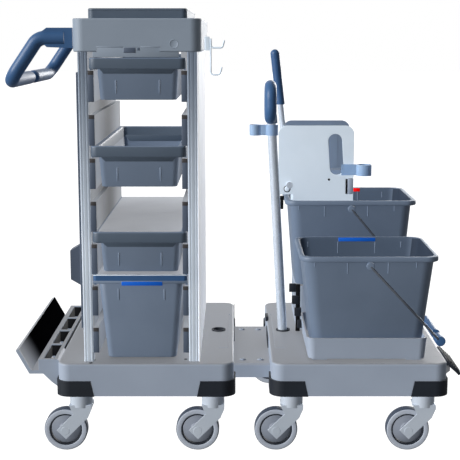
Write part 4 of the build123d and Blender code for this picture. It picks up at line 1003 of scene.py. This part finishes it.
@dataclass
class TrayDetail:
    """Button, latch, lips and apron on the front of the top tray.

    Attributes:
        front: Front of the tray along Y.
        base_z: Height of its underside.
    """

    front: float = TRAY_FRONT
    base_z: float = TRAY_Z

    def build(self) -> None:
        """Models the button in its ring, the latch with its pin, the lips and the apron."""
        button = disc("button", (-139, self.front, self.base_z + 17), 10, 2.4, Axis.Y)
        pick_faces(button, lambda face: face.normal.y < -0.9)
        bpy.ops.mesh.inset(thickness=1.4 * MM)
        bpy.ops.mesh.extrude_region_move(TRANSFORM_OT_translate={"value": (0, 0.8 * MM, 0)})
        soften(button, 0.4)
        parts = [paint(button, TRAY)]
        f, z = self.front, self.base_z
        parts.append(rib("latch", (-248, f - 1.6, z - 2), (-222, f + 8, z + 9), SLATE))
        parts.append(rib("latch_pin", (-219, f - 1.4, z + 3), (-213, f + 6, z + 9), RIM))
        parts.append(rib("lip", (-308, f - 1.0, z + 9), (-250, f + 2, z + 12.5), TRAY))
        parts.append(rib("lip", (-211, f - 1.0, z + 9), (-168, f + 2, z + 12.5), TRAY))
        parts.append(rib("apron", (-316, f + 3, z - 11.5), (-128, f + 5.5, z + 14), TRAY))
        place(together("tray_details", parts), "chassis")


@dataclass
class RackShade:
    """Dark sheets of painted shade on the inside of the rack's flap and in its pockets.

    Attributes:
        edge_x: Where the left base's side lies.
        deck: Height of the deck.
        half: Half of the length of the flap's shade sheet.
        pockets: Number of pockets.
    """

    edge_x: float = LEFT_EDGE
    deck: float = DECK_Z
    half: float = 262.0
    pockets: int = 4

    def build(self) -> None:
        """Models the flap's painted shade as a tilted strip and the painted shade in each pocket."""
        low = Vector((self.edge_x - 65.3, 0, self.deck - 26.0))
        high = Vector((self.edge_x - 92.6, 0, self.deck + 24.0))
        run = high - low
        centre = (low + high) / 2 + Vector((0.5, 0, 0.3))
        side, rise = self.half - 1, run.length / 2
        shade_sheet = block("shade_sheet", (-0.4, -side, -rise), (0.4, side, rise))
        bpy.ops.object.mode_set(mode="EDIT")
        bpy.ops.mesh.select_all(action="SELECT")
        bpy.ops.mesh.subdivide(number_cuts=6)
        bpy.ops.object.mode_set(mode="OBJECT")
        shade_sheet.rotation_euler = (0, math.atan2(run.x, run.z), 0)
        shade_sheet.location = centre * MM
        settle()
        parts = [paint(shade_sheet, RACK_SHADE)]
        x, top, shallow = self.edge_x, self.deck - 2.5, self.deck - 29
        pitch = (2 * self.half - 8) / self.pockets
        # Thin black sheets on each pocket's walls are painted shade.
        for number in range(self.pockets):
            end = self.half - 8 - pitch * number
            near, far = end - pitch + 8.4, end - 0.4
            parts.append(rib("pocket", (x - 37.6, near, shallow), (x - 36.8, far, top), BLACK))
            parts.append(rib("pocket", (x - 13.2, near, self.deck - 45), (x - 12.4, far, top), BLACK))
            parts.append(rib("pocket", (x - 36.8, end - 1.2, shallow), (x - 13.2, far, top), BLACK))
        place(together("rack_shade_sheets", parts), "chassis")


@dataclass
class PressDetail:
    """Screw, clamp, knob and strip on the mop press, and the catches on the rear bucket's rim.

    Attributes:
        front: Front of the press along Y.
        knob_x: Knob along X.
        knob_z: Height of the knob.
    """

    front: float = 119.5
    knob_x: float = 129
    knob_z: float = 562

    def build(self) -> None:
        """Models each fitting and the two catches."""
        f = self.front
        screw = disc("screw", (237, f - 0.4, 586), 3, 2, Axis.Y, 20)
        soften(screw, 0.5)
        ring = disc("knob_ring", (self.knob_x, f - 1, self.knob_z), 9, 3, Axis.Y)
        soften(ring, 0.8)
        knob = disc("knob", (self.knob_x, f - 2, self.knob_z), 6.8, 5, Axis.Y)
        soften(knob, 1.5, 3)
        parts = [
            paint(screw, BLACK),
            paint(ring, BLACK),
            paint(knob, PALE),
            rib("clamp_edge", (280, f - 5, 549), (285.5, f + 0.5, 588), BLACK),
            rib("clamp", (285, f - 7, 549), (299, f + 0.5, 590), DECK, 2.0),
            rib("strip", (146, 242, 722), (246, 246, 729.5), PALE),
        ]
        place(together("press_fittings", parts), "press")
        catches = [
            rib("catch", (109, f - 26, 536), (122, f - 12, 546), BLACK, 2.0),
            rib("catch", (111, f - 24, 512), (119, f - 14, 538), BLACK, 2.0),
        ]
        place(together("rear_bucket_catches", catches), "bucket_rear")


@dataclass
class Pedal:
    """Ribbed brake pedal that slopes down from the right base's edge.

    Attributes:
        edge: Where the base's side lies.
        deck: Height of the deck.
        near: Front end of the pedal.
        far: Back end of the pedal.
        reach: How far it sticks out.
        drop: How far it slopes down.
        ribs: Number of ribs.
    """

    edge: float = RIGHT_EDGE
    deck: float = DECK_Z
    near: float = -270.5
    far: float = -145.5
    reach: float = 33.0
    drop: float = 31.0
    ribs: int = 6

    def build(self) -> None:
        """Models the plate as a tilted slab with ribs across it, and the knuckle it turns on."""
        run = math.hypot(self.reach, self.drop)
        tilt = math.atan2(self.drop, self.reach)
        parts = [self.slab("plate", 0, run, -8, 0, tilt, RUBBER)]
        for number in range(self.ribs):
            start = 3 + number * (run - 6) / self.ribs
            parts.append(self.slab("rib", start, start + 3, -0.5, 2.2, tilt, BLACK))
        middle = (self.near + self.far) / 2
        knuckle = disc("knuckle", (self.edge + 7, middle, self.deck - 24), 6, 80, Axis.Y)
        soften(knuckle, 0.8)
        parts.append(paint(knuckle, RUBBER))
        place(together("brake_pedal_plate", parts), "pedal", ("brake_pedal",))

    def slab(
        self, name: str, start: float, end: float, low: float, high: float, tilt: float, finish: Finish
    ) -> Piece:
        """Models one slab of the sloping pedal.

        Args:
            name: Name of the slab.
            start: Where it starts along the slope.
            end: Where it ends along the slope.
            low: Its underside, from the slope's face.
            high: Its upper side, from the slope's face.
            tilt: Slope of the pedal, in radians.
            finish: What it is made of.

        Returns:
            The finished slab.
        """
        made = block(name, (start, self.near + 1, low), (end, self.far - 1, high))
        made.rotation_euler = (0, tilt, 0)
        made.location = ((self.edge + 3) * MM, 0, self.deck * MM)
        settle()
        soften(made, 0.8)
        return paint(made, finish)


@dataclass
class BailEnd:
    """Moulded end of the front bucket's grip, round the bail's front corner.

    Attributes:
        tip: The bail's corner in X and Z.
        near: Front end of the barrel along Y.
        length: Length of the barrel.
        radius: Radius of the barrel.
    """

    tip: tuple[float, float] = (462.4, 265.5)
    near: float = -284.0
    length: float = 40.0
    radius: float = 11.5

    def build(self) -> None:
        """Models the end as a rounded barrel."""
        centre = (self.tip[0], self.near + self.length / 2, self.tip[1])
        barrel = disc("barrel", centre, self.radius, self.length, Axis.Y)
        soften(barrel, 1.5, 3)
        place(together("front_bail_end", [paint(barrel, BLUE)]), "bail_front")


@dataclass
class DeckDetail:
    """Small fittings on the two decks: strips of painted shade, plugs, a latch and a stalk with its catches.

    Attributes:
        deck: Height of the decks.
        catches: Number of catches on the stalk.
    """

    deck: float = DECK_Z
    catches: int = 4

    def build(self) -> None:
        """Models each fitting and each strip of painted shade."""
        z = self.deck
        parts = [
            # Dark strips of painted shade: in the gap by the rack, in the gap by the left base's side, and on
            # the right base's side.
            rib("rack_gap_shade", (-415.6, -162, z - 22), (-410.9, 162, z - 3), BLACK),
            rib("base_gap_shade", (-9.2, 0, z - 30), (-6.8, 292, z - 3), RUBBER),
            rib("latch", (74, 96, z - 2), (82, 140, z + 9), RUBBER),
            rib("base_side_shade", (75.2, -60, z - 30), (77.6, 60, z - 4), RUBBER),
            rib("stalk", (147, -11, z), (158, -4, z + 120), BLACK),
        ]
        for step in range(self.catches):
            left, low = 130 + 7 * step, z + 101 - 31 * step
            parts.append(rib("catch", (left, -13, low), (left + 17, -3, low + 21), RUBBER, 1.5))
        for x, y in ((-334, -292), (-119, -262), (-330, -268)):
            plug = disc("plug", (x, y, z + 0.2), 4, 1.2, Axis.Z, 20)
            soften(plug, 0.3)
            parts.append(paint(plug, RUBBER))
        place(together("deck_fittings", parts), "chassis")


# ---- studio ----


@dataclass
class Studio:
    """Floor, lights and camera.

    Attributes:
        eye: Where the camera stands, in metres.
        pitch: How far it looks down, in degrees.
        lens: Focal length on the sensor.
        sensor: Width of the sensor.
        shift: Sideways shift of the lens.
        room: Strength of the light from the front.
        backdrop: Strength of the light from behind.
        reach: How far back the light has its full strength.
        floor_glow: How brightly the camera sees the floor.
        floor_grey: Grey of the floor for the light that falls on it.
    """

    eye: Point = (-0.00825, -2.7534, 0.949)
    pitch: float = 9.78
    lens: float = 87.65
    sensor: float = 36.0
    shift: float = -0.0087
    room: float = 0.16
    backdrop: float = 0.85
    reach: float = 0.6
    floor_glow: float = 0.9
    floor_grey: float = 0.25

    def camera(self) -> None:
        """Sets up the camera."""
        data = bpy.data.cameras.new("camera")
        data.lens = self.lens
        data.sensor_width = self.sensor
        data.shift_x = self.shift
        data.clip_end = 60
        made = bpy.data.objects.new("camera", data)
        made.location = self.eye
        made.rotation_euler = (math.radians(90 - self.pitch), 0, 0)
        bpy.context.scene.collection.objects.link(made)
        bpy.context.scene.camera = made

    def lamp(self, name: str, azimuth: float, height: float, spread: float, power: float) -> None:
        """Adds one broad, soft light that shines from afar.

        Args:
            name: Name of the light.
            azimuth: Where it stands, in degrees from the front towards the right.
            height: Its height above the horizon, in degrees.
            spread: Its angular size, in degrees.
            power: Its strength.
        """
        data = bpy.data.lights.new(name, "SUN")
        data.angle = math.radians(spread)
        data.use_shadow = False
        data.energy = power
        made = bpy.data.objects.new(name, data)
        turn, lift = math.radians(azimuth), math.radians(height)
        toward = Vector((math.sin(turn) * math.cos(lift), -math.cos(turn) * math.cos(lift), math.sin(lift)))
        made.rotation_euler = (-toward).to_track_quat("-Z", "Y").to_euler()
        bpy.context.scene.collection.objects.link(made)

    def floor(self) -> None:
        """Lays the floor, which looks white to the camera and gives back little light."""
        bpy.ops.object.select_all(action="DESELECT")
        bpy.ops.mesh.primitive_plane_add(size=40, location=(0, 8, -0.0005))
        made = bpy.context.object
        made.name = "floor"
        pale = bpy.data.materials.new("floor_white")
        pale.use_nodes = True
        tree = pale.node_tree
        shader = tree.nodes["Principled BSDF"]
        shader.inputs["Base Color"].default_value = (self.floor_grey, self.floor_grey, self.floor_grey, 1)
        shader.inputs["Roughness"].default_value = 0.95
        shader.inputs["Emission Color"].default_value = (1, 1, 1, 1)
        seen = add_node(tree, "ShaderNodeLightPath").outputs["Is Camera Ray"]
        glow = add_node(tree, "ShaderNodeMath", {0: seen, 1: self.floor_glow}, operation="MULTIPLY")
        tree.links.new(glow.outputs["Value"], shader.inputs["Emission Strength"])
        made.data.materials.append(pale)

    def surroundings(self) -> None:
        """Lights the cart from all sides, more from behind, in front of plain white."""
        world = bpy.data.worlds.new("surroundings")
        world.use_nodes = True
        tree = world.node_tree
        dim = tree.nodes["Background"]
        dim.inputs["Color"].default_value = (0.95, 0.97, 1.0, 1)
        way = add_node(tree, "ShaderNodeTexCoord").outputs["Generated"]
        back = add_node(tree, "ShaderNodeSeparateXYZ", {"Vector": way}).outputs["Y"]
        span = {"Value": back, "From Max": self.reach, "To Min": self.room, "To Max": self.backdrop}
        wall = add_node(tree, "ShaderNodeMapRange", span, interpolation_type="SMOOTHSTEP")
        tree.links.new(wall.outputs["Result"], dim.inputs["Strength"])
        bright = add_node(tree, "ShaderNodeBackground", {"Color": (1, 1, 1, 1)}).outputs["Background"]
        seen = add_node(tree, "ShaderNodeLightPath").outputs["Is Camera Ray"]
        blend = add_node(tree, "ShaderNodeMixShader", {0: seen, 1: dim.outputs["Background"], 2: bright})
        tree.links.new(blend.outputs["Shader"], tree.nodes["World Output"].inputs["Surface"])
        bpy.context.scene.world = world

    def build(self) -> None:
        """Builds the floor, the surroundings, the two lights and the camera."""
        self.floor()
        self.surroundings()
        self.lamp("key", -62, 20, 34, 4.6)
        self.lamp("back_right", 155, 10, 30, 1.9)
        bpy.context.scene.view_settings.view_transform = "Standard"
        self.camera()


def main() -> None:
    """Builds the cart's looks in order."""
    logging.basicConfig(level=logging.INFO, format="%(message)s")
    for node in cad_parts:
        name = node.rstrip("0123456789_")
        finish = NODE_FINISHES.get(node)
        if finish is None:
            finish = {"caster_fork": CASTER, "caster_wheel": TREAD}.get(name, BODY)
        dress(node, finish)
        LOG.info("dressed %s in %s", node, finish.name)
    Drawer("drawer_lower", "lower_drawer", ledge(2)).build()
    Drawer("drawer_middle", "middle_drawer", ledge(4)).build()
    Drawer("drawer_upper", "upper_drawer", ledge(6)).build()
    LinenBin().build()
    front_rim, front_top, front_low = (315, 270), (299, 252), (246, 222)
    Bucket("front_bucket", "bucket_front", (298.75, -150), 461, 226.6, front_rim, front_top, front_low,
           BLUE_TAG, (250, 341), (-124, -50, 42, 106)).build()
    Bucket("rear_bucket", "bucket_rear", (284.25, 132.5), 547, 329.8, (328, 263), (306, 245), (272, 213),
           RED_TAG, (314, 332), (-130, -66, 42, 108)).build()
    ends = (-1, 1)
    spots = [(c + sx * STEM_X - TRAIL, sy * STEM_Y) for c in BASE_XS for sx in ends for sy in ends]
    Caster(spots).build()
    RailTrim().build()
    RackShade().build()
    TrayDetail().build()
    DeckDetail().build()
    PressDetail().build()
    Pedal().build()
    BailEnd().build()
    Studio().build()
    bpy.context.view_layer.update()


if __name__ == "__main__":
    main()
